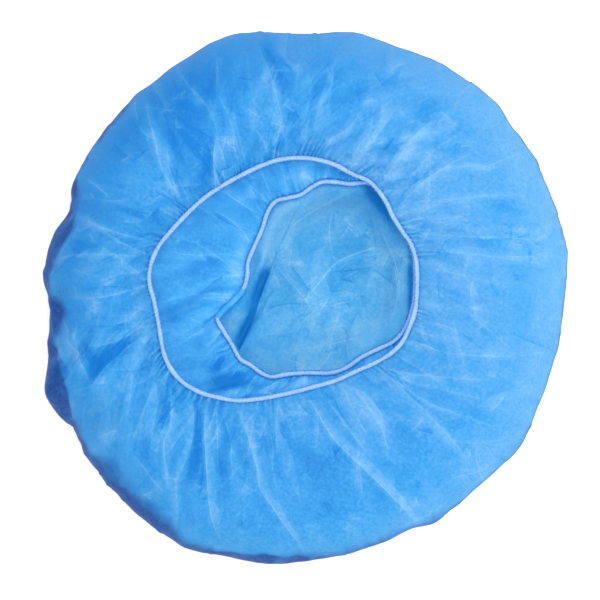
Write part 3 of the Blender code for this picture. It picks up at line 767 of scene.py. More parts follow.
# ---- meshes ----

def ring_mesh(name, rings, middle=None, closed=False):
    """A mesh over rings of points: a sheet with its middle filled, or a tube along a closed path."""
    rows, columns = rings.shape[:2]
    vertices = rings.reshape(-1, 3)
    here = np.arange(columns)
    after = np.roll(here, -1)
    starts = (np.arange(rows if closed else rows - 1) * columns)[:, None]
    ends = (starts + columns) % len(vertices)
    faces = np.stack((starts + here, starts + after, ends + after, ends + here), axis=-1).reshape(-1, 4).tolist()
    if middle is not None:
        faces += [(len(vertices), second, first) for first, second in zip(here.tolist(), after.tolist())]
        vertices = np.vstack((vertices, middle))
    mesh = bpy.data.meshes.new(name)
    mesh.from_pydata(vertices.tolist(), [], faces)
    mesh.polygons.foreach_set("use_smooth", np.ones(len(faces), dtype=bool))
    mesh.update()
    made = bpy.data.objects.new(name, mesh)
    bpy.context.scene.collection.objects.link(made)
    return made


def sides_of(path):
    """The directions to the side of a closed path and up from it."""
    ahead = np.roll(path, -1, axis=0) - np.roll(path, 1, axis=0)
    ahead /= np.linalg.norm(ahead, axis=1, keepdims=True)
    side = np.cross(ahead, UP)
    return side, np.cross(side, ahead), ahead


def tube_mesh(name, path, radii, sides):
    """A tube along a closed path of points, with its own radius at each."""
    side, _, ahead = sides_of(path)
    side /= np.linalg.norm(side, axis=1, keepdims=True)
    up = np.cross(side, ahead)
    spin = (np.arange(sides) * 2.0 * math.pi / sides)[None, :, None]
    radii = np.broadcast_to(radii, (len(path),))[:, None, None]
    return ring_mesh(
        name, path[:, None] + radii * (np.cos(spin) * side[:, None] + np.sin(spin) * up[:, None]), closed=True
    )


def in_photo(points):
    """Where points of the cloth stand in the photograph, in metres from its middle: what is higher looks wider."""
    off = points[..., :2] - MIDDLE[:2] - np.array(CAMERA_PLACE[:2])
    return np.array(CAMERA_PLACE[:2]) + off * (CAMERA_DISTANCE / (CAMERA_PLACE[2] - points[..., 2:]))


def beside(here, route):
    """The distance of points from a route, positive to its left, their share of its length, and the way across."""
    spans = np.linalg.norm(np.diff(route, axis=0), axis=1)
    total, done = spans.sum(), 0.0
    best, side, place = np.full(len(here), 1e9), np.zeros(len(here)), np.zeros(len(here))
    across = np.zeros((len(here), 2))
    for start, end, span in zip(route[:-1], route[1:], spans):
        way = (end - start) / span
        off = here - start
        t = np.clip(off @ way, 0.0, span)
        distance = np.linalg.norm(off - t[:, None] * way, axis=1)
        nearer = distance < best
        best = np.where(nearer, distance, best)
        side = np.where(nearer, way[0] * off[:, 1] - way[1] * off[:, 0], side)
        place = np.where(nearer, (done + t) / total, place)
        across = np.where(nearer[:, None], np.array((-way[1], way[0])), across)
        done += span
    return np.where(side > 0.0, best, -best), place, across


def close_to(here, route, margin):
    """Which points are near enough to a route for it to matter."""
    span = np.linalg.norm(route - route.mean(axis=0), axis=1).max()
    return np.abs(here - route.mean(axis=0)).max(axis=-1) < span + margin


def fold_fields(points, folds):
    """What folds do to each point of a grid: how far they lift it and lean it over, how doubled it is, and
    for each layer of crease lines the distance in mm from the nearest, its strength and that of its doubled side.
    """
    here = in_photo(points)
    lift, doubled_and_painted_light = np.zeros(points.shape[:-1]), np.zeros(points.shape[:-1])
    lean = np.zeros(points.shape[:-1] + (2,))
    creases = np.zeros((CREASE_LAYERS,) + points.shape)
    creases[..., 0] = NEAREST_MM
    for number, (route, height, left, right, pale) in enumerate(folds):
        route = open_curve(plan(route))
        near = close_to(here, route, 0.015)
        signed, place, across = beside(here[near], route)
        blend = smooth_step(signed / FOLD_BLEND + 0.5)
        width = np.maximum(left * blend + right * (1.0 - blend), NARROWEST_MM) / 1000.0
        taper = smooth_step(place / 0.35 + 0.12) * smooth_step((1.0 - place) / 0.2 + 0.15)
        shape = taper * bump(signed, width)
        lift[near] += FOLD_SHARE * height * 0.001 * shape
        doubled_and_painted_light[near] += max(pale, 0.0) * shape
        amount = LEAN_SHARE * height * 0.001 * (right - left) / (left + right)
        lean[near] += across * (amount * shape)[:, None]
        away = np.clip(signed * (1000.0 if left >= right else -1000.0), -NEAREST_MM, NEAREST_MM)
        ends = smooth_step(place / 0.10) * smooth_step((1.0 - place) / 0.12)
        strength = pale * ends * (0.35 + 0.65 * taper)
        one_sided = max(left, right) > 1.25 * min(left, right)
        layer = creases[number % CREASE_LAYERS]
        there = layer[near]
        nearer = (np.abs(away) < np.abs(there[:, 0])) & (ends > 0.02)
        made = np.stack((
            away,
            strength * np.clip((4.5 - np.abs(away)) / 2.0, 0.0, 1.0),
            strength * one_sided * np.clip(1.0 - np.abs(away) / NEAREST_MM, 0.0, 1.0) ** 2,
        ), axis=-1)
        layer[near] = np.where(nearer[:, None], made, there)
    return lift, lean, doubled_and_painted_light, creases


def seen_from(middle, route):
    """The directions and reaches of a closed route in pixels, as seen from a middle."""
    off = closed_curve(np.array(route, dtype=float), 8) - middle
    return np.arctan2(-off[:, 1], off[:, 0]), np.hypot(off[:, 0], off[:, 1])


def random_creases(count, seed, ring, skew_deg, length, pale, at_first=0.5):
    """Thin creases that crumpling leaves, at random: between a ring's two closed routes, more or less across them."""
    rng = np.random.default_rng(seed)
    middle, first, last = ring
    tables = seen_from(middle, first), seen_from(middle, last)
    made = []
    for _ in range(count):
        angle = rng.uniform(-math.pi, math.pi)
        low, high = (float(np.interp(angle, *table, period=2.0 * math.pi)) for table in tables)
        near_start = rng.uniform() < at_first
        place = low + (0.02 if near_start else rng.uniform(0.02, 0.85)) * (high - low) + rng.uniform(1.0, 5.0)
        skew = math.radians(skew_deg * (0.4 if near_start else 1.0)) * rng.normal()
        reach = min(rng.uniform(*length), 0.95 * (high - low))
        way = np.array((math.cos(angle + skew), -math.sin(angle + skew)))
        side = np.array((way[1], -way[0]))
        start = middle + place * np.array((math.cos(angle), -math.sin(angle)))
        bend = rng.normal() * 0.05 * reach
        points = (start, start + way * reach * 0.5 + side * bend, start + way * reach)
        wide = rng.uniform() < 0.8
        widths = (NARROWEST_MM, 3.4) if rng.uniform() < 0.5 else (3.4, NARROWEST_MM)
        made.append((
            points, rng.uniform(0.1, 0.4), *(widths if wide else (NARROWEST_MM, NARROWEST_MM)),
            # four in ten are painted dark, as painted shade in the crease
            rng.uniform(*pale) * (-1.0 if rng.uniform() < 0.4 else 1.0),
        ))
    return made


def leaf_fields(points, leaves):
    """Leaf-shaped panels: how far they lift each point, and the distance in mm inside the edge, with paleness."""
    here = in_photo(points)
    lift = np.zeros(points.shape[:-1])
    made = np.zeros(points.shape)
    made[..., 0] = -NEAREST_MM
    for axis, half_width, height, pale in leaves:
        axis = open_curve(plan(axis))
        near = close_to(here, axis, 0.012)
        signed, place, _ = beside(here[near], axis)
        width = half_width * np.sin(math.pi * np.clip(place, 0.0, 1.0)) ** 0.75
        inside = np.maximum(width - np.abs(signed) * 1000.0, -NEAREST_MM)
        lift[near] += 0.001 * height * smooth_step(1.3 * inside / half_width)
        tone = pale * (0.55 + 0.45 * np.clip(signed * 1000.0 / half_width, -1.0, 1.0))
        shown = made[near]
        better = inside > shown[:, 0]
        made[near] = np.where(better[:, None], np.stack((inside, tone, 0.0 * tone), axis=-1), shown)
    return lift, made


def random_leaves(count, seed, half_width, pale, *arguments):
    """Narrow leaf-shaped panels at random, along random creases."""
    rng = np.random.default_rng(seed + 1)
    return [
        (crease[0], rng.uniform(*half_width), 0.3, rng.uniform(*pale))
        for crease in random_creases(count, seed, *arguments)
    ]


def dents(points, table):
    """The depth of the table's hollows at each point, in metres, and how much darker the colour is painted: painted
    shade, paler where below 0.
    """
    here = in_photo(points)
    depth, tone = np.zeros(points.shape[:-1]), np.zeros(points.shape[:-1])
    for middle, half_length, half_width, turn_deg, deep, painted_shade in table:
        off = (here - plan([middle])[0]) * 1000.0
        lengthwise, sidewise = turned(off[..., 0], off[..., 1], turn_deg)
        shape = np.exp(-(np.abs(lengthwise / half_length) ** 2.6) - (np.abs(sidewise / half_width) ** 2.2))
        depth += 0.001 * deep * shape
        tone += painted_shade * shape
    return depth, tone


def crinkles(points, seed):
    """The creases that crumpling leaves: how far they stand up in metres, and how pale they are."""
    lift, pale = np.zeros(points.shape[:-1]), np.zeros(points.shape[:-1])
    for number, (wave_mm, height, width) in enumerate(((34.0, 0.0004, 0.16), (19.0, 0.0002, 0.15))):
        ridge = np.abs(plan_noise(points, wave_mm, seed + number))
        strength = np.clip(0.6 + 0.6 * plan_noise(points, 40.0, seed + 10 + number), 0.0, 1.4)
        lift += height * strength * (np.exp(-ridge / 0.5) - 0.4)
        pale += 0.12 * strength * np.exp(-((ridge / width) ** 2))
    return lift, pale


def uneven_turns(columns, count, spread, least, rng):
    """A phase that grows round the cap, faster here and slower there. Its scale is left to the caller."""
    steps = 1.0 + spread * soft_noise(2, columns, 1.0, count / 2.5, rng)[0]
    return np.cumsum(np.maximum(steps, least))


def pleats(rows, columns, count, seed, reach, reach_spread):
    """Pleats that run out from the last row, each with its own place, size and reach."""
    rng = np.random.default_rng(seed)
    way = np.linspace(0.0, 1.0, rows)[:, None]
    phase = uneven_turns(columns, count, 0.42, 0.25, rng)
    phase = phase / phase[-1] * count
    wander = soft_noise(rows, columns, 2.2, count / 3.0, rng) * 0.22 * (1.0 - way)
    turn = 2.0 * math.pi * (phase[None, :] + wander)
    crest = np.cos(turn) + 0.28 * np.cos(2.0 * turn)
    size = np.clip(0.7 + 0.6 * soft_noise(2, columns, 1.0, count / 2.5, rng)[0], 0.0, 1.8)
    far = np.clip(reach + reach_spread * soft_noise(2, columns, 1.0, count / 2.0, rng)[0], 0.03, 0.9)
    fade = np.clip((way - (1.0 - far[None, :])) / far[None, :], 0.0, 1.0)
    return crest * size[None, :] * smooth_step(fade)


def gathered(lift, near_mouth, least, wide, fine):
    """A layer's lift, softer away from its mouth, with the pleats that run out from there, and the fine ones alone.

    wide and fine: height in metres, and the pleats' count, seed, reach and spread of reach.
    """
    fine_pleats = pleats(*lift.shape, *fine[1:])
    lift = lift * (0.3 + 0.7 * near_mouth)
    lift += wide[0] * pleats(*lift.shape, *wide[1:]) * (least + (1.0 - least) * near_mouth)
    lift += fine[0] * fine_pleats
    return lift, fine_pleats


def settled(start):
    """The whole layer, let buckle a little about the form that it has."""
    return settle(start, start, 1.008, 1.004, hold=0.03, bend_round=0.02, bend_along=0.06, steps=STEPS // 2)


def ridge_light_valley_shade(points):
    """Below 0 in the folds' valleys and above it on their ridges, for painted shade in the valleys and a painted
    highlight on the ridges.
    """
    normals = unit_normals(points)
    fine = ((points - blurred(points, 3)) * normals).sum(axis=-1)
    wide = ((points - blurred(points, 24)) * normals).sum(axis=-1)
    return 0.16 * np.tanh(fine / 0.00016) + 0.26 * np.tanh(wide / 0.0009)


def to_outline(points, seed):
    """Draws the widest part of the cloth to the outline, with small puckers."""
    reach = np.hypot(points[..., 0], points[..., 1])
    here = np.degrees(np.arctan2(points[..., 1], points[..., 0])) % 360.0
    widest = reach.argmax(axis=0), np.arange(points.shape[1])
    actual = np.interp(here, here[widest], reach[widest], period=360.0)
    puckers = soft_noise(2, len(HALF_DEGREES), 1.0, 70.0, np.random.default_rng(seed))[0]
    wanted = at_angle(OUTLINE_REACH * BODY_RADIUS + 0.0002 + 0.00022 * puckers, here)
    share = 1.0 + (wanted / actual - 1.0) * smooth_step((reach / actual - 0.72) / 0.26)
    return points * np.stack((share, share, np.ones_like(share)), axis=-1)


def edge_rows(points, mouth, over, radius, hang, seed, count):
    """More rows that take the cloth round its cord: over it where over is 1, and under it at -1."""
    angles = grid_angles(points.shape[1])
    centre = mouth(angles)
    outward = off_route(mouth, angles, 1.0) - centre
    phase = uneven_turns(len(angles), count, 0.3, 0.3, np.random.default_rng(seed))
    phase *= 2.0 * math.pi * count / phase[-1]
    rows = []
    for share in (np.arange(EDGE_ROWS) + 1.0) / EDGE_ROWS:
        turn = np.radians(150.0) * share * over
        ring = centre + radius * (np.cos(turn)[:, None] * outward + np.sin(turn)[:, None] * UP)
        ring[:, 2] -= hang * share ** 2 * (1.0 + np.sin(phase)) * np.clip(-over, 0.0, 1.0)
        rows.append(ring)
    return np.concatenate((points, np.stack(rows)))


def with_edge(field):
    """A grid's field carried on over the rows round the cord."""
    return np.concatenate((field, np.repeat(field[-1:], EDGE_ROWS, axis=0)))


def paint(cloth, name, *fields):
    """Keeps a number, or three, for each vertex of the cloth, for its material."""
    values = np.concatenate([np.asarray(field, dtype=np.float32).reshape(-1) for field in fields])
    three = len(values) > len(cloth.data.vertices)
    layer = cloth.data.attributes.new(name, "FLOAT_VECTOR" if three else "FLOAT", "POINT")
    layer.data.foreach_set("vector" if three else "value", values)


def paint_layers(cloth, name, layers):
    """Keeps layers of crease lines or panels: each for the rows before the form and for the form itself."""
    for number, (before, layer) in enumerate(layers):
        paint(cloth, "%s_%d" % (name, number), before, with_edge(layer), np.zeros(3))


def towards(direction_deg, power=1):
    """From 0 to 1 round the outer layer, 1 in that direction."""
    facing = (1.0 + np.cos(np.radians(grid_angles(OUTER_COLUMNS) - direction_deg))) / 2.0
    return smooth_step(facing ** power)


# ---- outer layer ----

way = np.linspace(0.0, 1.0, OUTER_ROWS)
moved = crumple(
    outer_form, 37, 220, fullness=(1.004, 0.006, 0.3, 0.3), extra_along=1.008,
    seed=31, wave_mm=46.0, size=0.0010, steps=STEPS * 2,
)
moved = crumple(
    outer_form, 55, 440, fullness=(1.001, 0.008, 0.6, 0.35), extra_along=1.004,
    seed=32, wave_mm=20.0, size=0.0002, steps=STEPS, carried=moved,
)
form = outer_form(grid_angles(OUTER_COLUMNS), OUTER_ROWS)
top_side = smooth_step((way - 0.16) / 0.14)[:, None]
near_mouth = smooth_step((1.0 - way) / 0.10)[:, None]
lift, lean, doubled_and_painted_light, outer_creases = fold_fields(form, OUTER_FOLDS + tuple(
    random_creases(190, 61, OUTER_RING, 38.0, (18.0, 72.0), (0.12, 0.6))
    + random_creases(300, 67, OUTER_RING, 90.0, (7.0, 26.0), (0.2, 0.7), 0.1)
))
leaf_lift, outer_leaves = leaf_fields(form, OUTER_LEAVES)
more_lift, more_leaves = leaf_fields(
    form, random_leaves(76, 64, (1.6, 5.4), (0.12, 0.38), OUTER_RING, 24.0, (24.0, 90.0), (0.1, 0.5))
)
lift += 0.6 * (leaf_lift + more_lift)
depth, painted_shade = dents(form, OUTER_HOLLOWS)
crease, crease_pale = crinkles(form, seed=71)
lift, fine_pleats = gathered(
    blurred(lift - depth + crease, 1) * top_side, near_mouth, 0.35,
    wide=(0.0005, 58, 41, 0.20, 0.16), fine=(0.0006, 136, 42, 0.11, 0.05),
)
side_way = (smooth_step(way / 0.12) * smooth_step((0.46 - way) / 0.2))[:, None]
wrinkles = soft_noise(OUTER_ROWS, OUTER_COLUMNS, 2.6, 46.0, np.random.default_rng(47))
wrinkles = np.exp(-np.abs(wrinkles) / 0.35) - 0.4
lift += 0.0012 * wrinkles * side_way
start = form + 0.55 * finer(moved, OUTER_ROWS, OUTER_COLUMNS) + unit_normals(form) * lift[..., None]
start[..., :2] += lean * top_side[..., None]
start[..., 2] = np.maximum(start[..., 2], LOWEST)
cloth = to_outline(settled(start), seed=81)
outer_points = edge_rows(
    cloth, outer_mouth, np.full(OUTER_COLUMNS, -1.0), radius=OUTER_HEM, hang=0.0011, seed=51, count=120
)

# its tones: paler on folds where the cloth is doubled and on crinkles, with painted shade in hollows
tone = (PALER * np.clip(doubled_and_painted_light, 0.0, MOST_DOUBLED) + crease_pale - painted_shade) * top_side
# painted light on the crests of pleats and wrinkles, and painted shade between them
tone = tone + 0.5 * fine_pleats + 0.4 * wrinkles * side_way
# painted highlight on ridges and painted shade in valleys
tone = 0.45 * ridge_light_valley_shade(outer_points) + PAINTED_SHARE * with_edge(tone)
from_rim = np.linalg.norm(form[..., :2], axis=-1) / (BODY_RADIUS * at_angle(OUTLINE_REACH, grid_angles(OUTER_COLUMNS)))
# painted light: paler towards the upper right, less towards the bottom, and along the rim at the right
sunlit_rim = 0.75 * towards(5.0) * smooth_step((from_rim - 0.82) / 0.12)
tone += with_edge(0.88 * towards(18.0, 3) + 0.22 * towards(275.0, 3) + sunlit_rim)

# the painted shade of the lower side: low on the wall, past the ridge at the left and the bottom, under the widest
# row, and along the rim at the upper left
row = np.arange(OUTER_ROWS)[:, None]
crest_row = int(np.argmax(form[..., 2].mean(axis=1) > 0.85 * BODY_HEIGHT))
height = np.where(row < crest_row + 4, form[..., 2], BODY_HEIGHT)
shaded = towards(205.0)
ragged = soft_noise(OUTER_ROWS, OUTER_COLUMNS, 3.0, 34.0, np.random.default_rng(48))
dark_to = (0.70 + 0.22 * shaded + 0.045 * ragged) * BODY_HEIGHT
low = smooth_step((dark_to - height) / ((0.36 - 0.15 * shaded) * BODY_HEIGHT))
low *= 0.4 + 0.6 * shaded
beyond, place, _ = beside(in_photo(form).reshape(-1, 2), open_curve(plan(LOW_SIDE_EDGE)))
beyond = smooth_step(0.5 + beyond / 0.0022) * smooth_step(place / 0.14) * smooth_step((1.0 - place) / 0.15)
low = np.maximum(low, beyond.reshape(low.shape) * (row < crest_row + 14))
low = np.maximum(low, 0.36 * towards(142.0, 1.2) * smooth_step((from_rim - 0.66) / 0.30) * top_side)
reach = np.hypot(cloth[..., 0], cloth[..., 1])
reach_share = np.where(row < reach.argmax(axis=0), 1.0, reach / reach.max(axis=0))
under = smooth_step(1.0 - cloth[..., 2] / (0.4 * BODY_HEIGHT))
low = np.maximum(low, (0.75 - 0.15 * under) * smooth_step((reach_share - 0.983) / 0.014))

foot_rings = np.stack([outer_points[0] * np.array((share, share, 1.0)) for share in (0.3, 0.7)])
outer_cloth = ring_mesh(
    "outer_layer_cloth", np.concatenate((foot_rings, outer_points)) - MIDDLE, np.array((0.0, 0.0, LOWEST)) - MIDDLE
)
foot_count = 2 * OUTER_COLUMNS
# keeps the tones: paler doubled cloth, with painted light and painted shade
paint(outer_cloth, "doubled_and_painted_light", np.zeros(foot_count), tone, [0.0])
# keeps the painted shade of the lower side as low
paint(outer_cloth, "low", np.ones(foot_count), with_edge(low), [1.0])
outer_creases[..., 1:] *= top_side[..., None]
paint_layers(outer_cloth, "creases", [(np.zeros(3 * foot_count), layer) for layer in outer_creases])
for layer in (outer_leaves, more_leaves):
    layer[..., 1] *= top_side
paint_layers(outer_cloth, "leaves", [(np.zeros(3 * foot_count), layer) for layer in (outer_leaves, more_leaves)])


# ---- inner layer, and the floor of its crown ----

way = np.linspace(0.0, 1.0, INNER_ROWS)
moved = crumple(
    inner_form, 30, 160, fullness=(1.003, 0.012, 0.4, 0.4), extra_along=1.006,
    seed=33, wave_mm=40.0, size=0.0007, steps=STEPS * 2,
)
form = inner_form(grid_angles(INNER_COLUMNS), INNER_ROWS)
inside = smooth_step((way - 0.62) / 0.08)[:, None]
near_mouth = smooth_step((1.0 - way) / 0.08)[:, None]
lift, _, doubled_and_painted_light, inner_creases = fold_fields(form, INNER_FOLDS + tuple(
    random_creases(60, 62, INNER_RING, 20.0, (14.0, 60.0), (0.15, 0.5))
    + random_creases(70, 68, INNER_RING, 60.0, (6.0, 20.0), (0.2, 0.6))
))
_, inner_leaves = leaf_fields(
    form, random_leaves(34, 65, (1.0, 3.2), (0.2, 0.6), INNER_RING, 14.0, (20.0, 70.0), (0.1, 0.5))
)
depth, painted_shade = dents(form, INNER_HOLLOWS)
crease, crease_pale = crinkles(form, seed=91)
lift, fine_pleats = gathered(
    blurred(lift - depth + 0.4 * crease, 1) * inside, near_mouth, 0.4,
    wide=(0.00025, 48, 43, 0.12, 0.06), fine=(0.0004, 108, 44, 0.07, 0.03),
)
start = form + 0.7 * finer(moved, INNER_ROWS, INNER_COLUMNS) + unit_normals(form) * lift[..., None]
over = 2.0 * smooth_step((8.4 - np.abs(turned_by(grid_angles(INNER_COLUMNS), 192.4))) / 2.4) - 1.0
inner_points = edge_rows(settled(start), inner_mouth, over, radius=0.0020, hang=0.0013, seed=52, count=104)
# its tones: paler on doubled folds and crinkles, painted shade in hollows, painted light on pleat crests with painted
# shade between them, and painted highlight on ridges with painted shade in valleys
tone = (PALER * np.clip(doubled_and_painted_light, 0.0, MOST_DOUBLED) + 0.6 * crease_pale - painted_shade) * inside + 0.3 * fine_pleats
tone = 0.35 * ridge_light_valley_shade(inner_points) + PAINTED_SHARE * with_edge(tone)

shares = np.concatenate((np.linspace(0.012, 0.70, FLOOR_ROWS - 4), np.linspace(0.74, 0.87, 4)))
floor = np.stack([body_point(grid_angles(INNER_COLUMNS), INNER_FOOT * share, INNER_FLOOR) for share in shares])
bulges = floor_height(floor)
lift, _, doubled_and_painted_light, floor_creases = fold_fields(floor, FLOOR_FOLDS + tuple(
    random_creases(34, 63, FLOOR_RING, 90.0, (20.0, 60.0), (0.15, 0.45), 0.0)
    + random_creases(40, 69, FLOOR_RING, 90.0, (6.0, 22.0), (0.2, 0.5), 0.0)
))
_, floor_leaves = leaf_fields(
    floor, random_leaves(16, 66, (2.0, 7.0), (0.2, 0.5), FLOOR_RING, 90.0, (40.0, 90.0), (0.1, 0.5), 0.0)
)
depth, painted_shade = dents(floor, FLOOR_HOLLOWS)
rise, rise_tone = dents(floor, FLOOR_RISES)
crease, crease_pale = crinkles(floor, seed=111)
floor[..., 2] += bulges + 0.0016 * plan_noise(floor, wave_mm=44.0, seed=120) + 0.0012
floor[..., 2] += lift + rise - depth + crease
off_middle = floor[..., :2] - INNER_MOUTH_CENTRE[:2]
direction = np.degrees(np.arctan2(off_middle[..., 1], off_middle[..., 0])) % 360.0
inside_cord = at_angle(INNER_REACH, direction) - np.linalg.norm(off_middle, axis=-1)
drawn_up = 0.001 * np.interp(direction, *np.array(FLOOR_DRAWN_UP).T, period=360.0)
floor[..., 2] += drawn_up * smooth_step((0.020 - inside_cord) / 0.018) * smooth_step((0.026 + inside_cord) / 0.016)
floor[..., 2] = np.maximum(floor[..., 2], INNER_FLOOR)
# the floor's tones: paler on doubled folds and crinkles, painted shade in hollows and dark creases, painted light
# where it rises, painted highlight on ridges with painted shade in valleys, and paler all over
floor_tone = PALER * np.clip(doubled_and_painted_light, 0.0, MOST_DOUBLED) + crease_pale - painted_shade - rise_tone
floor_tone = 0.45 * ridge_light_valley_shade(floor) + PAINTED_SHARE * floor_tone + FLOOR_PALER

inner_cloth = ring_mesh(
    "inner_layer_cloth", np.concatenate((floor, inner_points)) - MIDDLE, floor[0].mean(axis=0) - MIDDLE
)
# keeps the tones: paler doubled cloth, with painted light and painted shade
paint(inner_cloth, "doubled_and_painted_light", floor_tone, tone, [floor_tone[0].mean()])
# a little painted shade over the inner layer's top and rim, inside the crown
paint(inner_cloth, "low", np.zeros(floor_tone.size), with_edge(0.07 * inside + np.zeros(form.shape[:2])), [0.0])
paint_layers(inner_cloth, "leaves", [(share * floor_leaves, share * inner_leaves) for share in (1.0, 0.0)])
paint_layers(inner_cloth, "creases", zip(floor_creases, inner_creases))


# ---- elastics ----

def elastic(name, mouth, diameter, wraps, seed):
    """A cord wound with yarn, along a mouth."""
    angles = grid_angles(420)
    wave, swell = soft_noise(2, len(angles), 1.0, 60.0, np.random.default_rng(seed))
    path = mouth(angles) - MIDDLE
    path[:, 2] += CORD_WAVE * wave
    core = tube_mesh(name + "_core", path, diameter * (0.43 + 0.03 * swell), 10)
    places = grid_angles(wraps * 9)
    base = mouth(places) - MIDDLE
    side, up, _ = sides_of(base)
    spin = np.arange(len(places)) * 2.0 * math.pi * wraps / len(places)
    spin = spin + np.interp(places, angles, 0.35 * swell, period=360.0)
    coil = base + diameter * 0.46 * (np.cos(spin)[:, None] * side + np.sin(spin)[:, None] * up)
    coil[:, 2] += np.interp(places, angles, CORD_WAVE * wave, period=360.0)
    return core, tube_mesh(name + "_yarn", coil, diameter * 0.11, 5)


outer_core, outer_yarn = elastic("outer_elastic", outer_mouth, OUTER_ELASTIC_DIAMETER, 210, 3)
inner_core, inner_yarn = elastic("inner_elastic", inner_mouth, INNER_ELASTIC_DIAMETER, 160, 4)


# ---- materials ----

def put(tree, socket, value):
    """Gives a socket its value: a number, a colour, or what another socket gives."""
    if isinstance(value, bpy.types.NodeSocket):
        tree.links.new(value, socket)
    else:
        socket.default_value = value


def node(tree, kind, inputs=(), **settings):
    made = tree.nodes.new(kind)
    for name, value in settings.items():
        setattr(made, name, value)
    for name, value in dict(inputs).items():
        put(tree, made.inputs[name], value)
    return made


def maths(tree, operation, *values, clamp=False):
    """What a maths node makes of sockets or numbers."""
    made = node(tree, "ShaderNodeMath", enumerate(values), operation=operation, use_clamp=clamp)
    return made.outputs[0]


def add_part(tree, field, amount, total, clamp=False):
    return maths(tree, "MULTIPLY_ADD", field, amount, total, clamp=clamp)


def varied(tree, total, noise, amount, clamp=False):
    """The total, more by that amount of how far the noise is above its middle."""
    return add_part(tree, maths(tree, "SUBTRACT", noise, 0.5), amount, total, clamp)


def blend(tree, kind, share, first, second):
    """A colour blended from two."""
    made = node(
        tree, "ShaderNodeMix", {"Factor": share, "A": first, "B": second}, data_type="RGBA", blend_type=kind
    )
    return made.outputs["Result"]


def noise_field(tree, place, **sizes):
    return node(tree, "ShaderNodeTexNoise", {"Vector": place, **sizes}).outputs["Fac"]


def colour_ramp(tree, share, stops):
    """The colour that a row of stops has at that share."""
    ramp = node(tree, "ShaderNodeValToRGB", {"Fac": share})
    marks = ramp.color_ramp.elements
    for number, (position, colour) in enumerate(stops):
        mark = marks[number] if number < 2 else marks.new(position)
        mark.position = position
        mark.color = (*colour, 1.0)
    return ramp.outputs["Color"]


def painted(tree, name):
    """The parts of what was painted on the cloth under that name."""
    layer = node(tree, "ShaderNodeAttribute", attribute_name=name)
    return node(tree, "ShaderNodeSeparateXYZ", {0: layer.outputs["Vector"]}).outputs


def cloth_material(name, stops, painted_shade_tint, through_share, grain):
    """Thin spun cloth: paler where it is doubled in a fold, with clouds of thicker and thinner fibre, with the painted
    light and painted shade kept in its tones, and darker by the painted shade kept as low.
    """
    made = bpy.data.materials.new(name)
    made.use_nodes = True
    tree = made.node_tree
    tree.nodes.clear()
    place = tree.nodes.new("ShaderNodeTexCoord").outputs["Object"]
    clouds = noise_field(tree, place, Scale=85.0, Detail=3.0, Roughness=0.55)
    mottle = noise_field(tree, place, Scale=520.0, Detail=3.0, Roughness=0.6)
    fibres = noise_field(tree, place, Scale=1500.0, Detail=4.0, Roughness=0.7, Distortion=1.2)
    doubled_and_painted_light, low = (
        node(tree, "ShaderNodeAttribute", attribute_name=field).outputs["Fac"] for field in ("doubled_and_painted_light", "low")
    )
    # the painted shade of the lower side, kept as low, made patchy by the clouds and mottle
    patchy = varied(tree, add_part(tree, clouds, 1.4, 0.20), mottle, 1.4)
    low = varied(tree, add_part(tree, low, patchy, 0.10), mottle, -0.34)
    low = varied(tree, low, fibres, -0.22, clamp=True)
    # crease lines, with the doubled cloth to one side of each, and the panels
    lines, sides = 0.0, 0.0
    for number in range(CREASE_LAYERS):
        away, strength, side = painted(tree, "creases_%d" % number)
        line = maths(tree, "SUBTRACT", 1.0, maths(tree, "DIVIDE", maths(tree, "ABSOLUTE", away), LINE_MM), clamp=True)
        lines = add_part(tree, line, strength, lines)
        sides = add_part(tree, add_part(tree, away, 2.5, 0.5, clamp=True), side, sides)
    for number in range(2):
        inside, pale, _ = painted(tree, "leaves_%d" % number)
        sides = add_part(tree, add_part(tree, inside, 2.2, 0.5, clamp=True), pale, sides)
    tone = add_part(tree, doubled_and_painted_light, 0.26, 0.27)
    for noise, amount in ((clouds, 0.40), (mottle, 0.56 * grain), (fibres, 0.52 * grain)):
        tone = varied(tree, tone, noise, amount)
    tone = add_part(tree, sides, 0.25, add_part(tree, lines, 0.50, tone))
    # the ramp's colour, darkened by the painted shade towards its tint
    colour = blend(tree, "MULTIPLY", low, colour_ramp(tree, tone, stops), (*painted_shade_tint, 1.0))
    # less light comes through where the cloth lies in the shade of the cap itself
    deep = varied(tree, add_part(tree, low, 2.0, -1.2), mottle, -3.0, clamp=True)
    through = blend(tree, "MIX", 0.75, colour, (0.14, 0.66, 1.0, 1.0))
    through = blend(tree, "MULTIPLY", deep, through, (0.80, 0.52, 0.62, 1.0))
    relief = add_part(tree, fibres, 0.6, maths(tree, "MULTIPLY", mottle, 0.8))
    relief = add_part(tree, lines, 1.2, relief)
    raised = node(tree, "ShaderNodeBump", {"Strength": 0.30, "Distance": 0.0004, "Height": relief})
    shader = node(tree, "ShaderNodeBsdfPrincipled", {
        "Base Color": colour, "Roughness": 0.6, "Specular IOR Level": 0.2,
        "Sheen Weight": 0.05, "Sheen Roughness": 0.5, "Normal": raised.outputs["Normal"],
    })
    glow = node(tree, "ShaderNodeBsdfTranslucent", {"Color": through})
    mix = node(tree, "ShaderNodeMixShader", {0: through_share, 1: shader.outputs[0], 2: glow.outputs[0]})
    node(tree, "ShaderNodeOutputMaterial", {"Surface": mix.outputs[0]})
    return made


def yarn_material(name, base, dark):
    made = bpy.data.materials.new(name)
    made.use_nodes = True
    tree = made.node_tree
    shader = tree.nodes["Principled BSDF"]
    place = tree.nodes.new("ShaderNodeTexCoord").outputs["Object"]
    noise = noise_field(tree, place, Scale=900.0, Detail=3.0)
    put(tree, shader.inputs["Base Color"], colour_ramp(tree, noise, ((0.3, dark), (0.7, base))))
    shader.inputs["Roughness"].default_value = 0.8
    return made


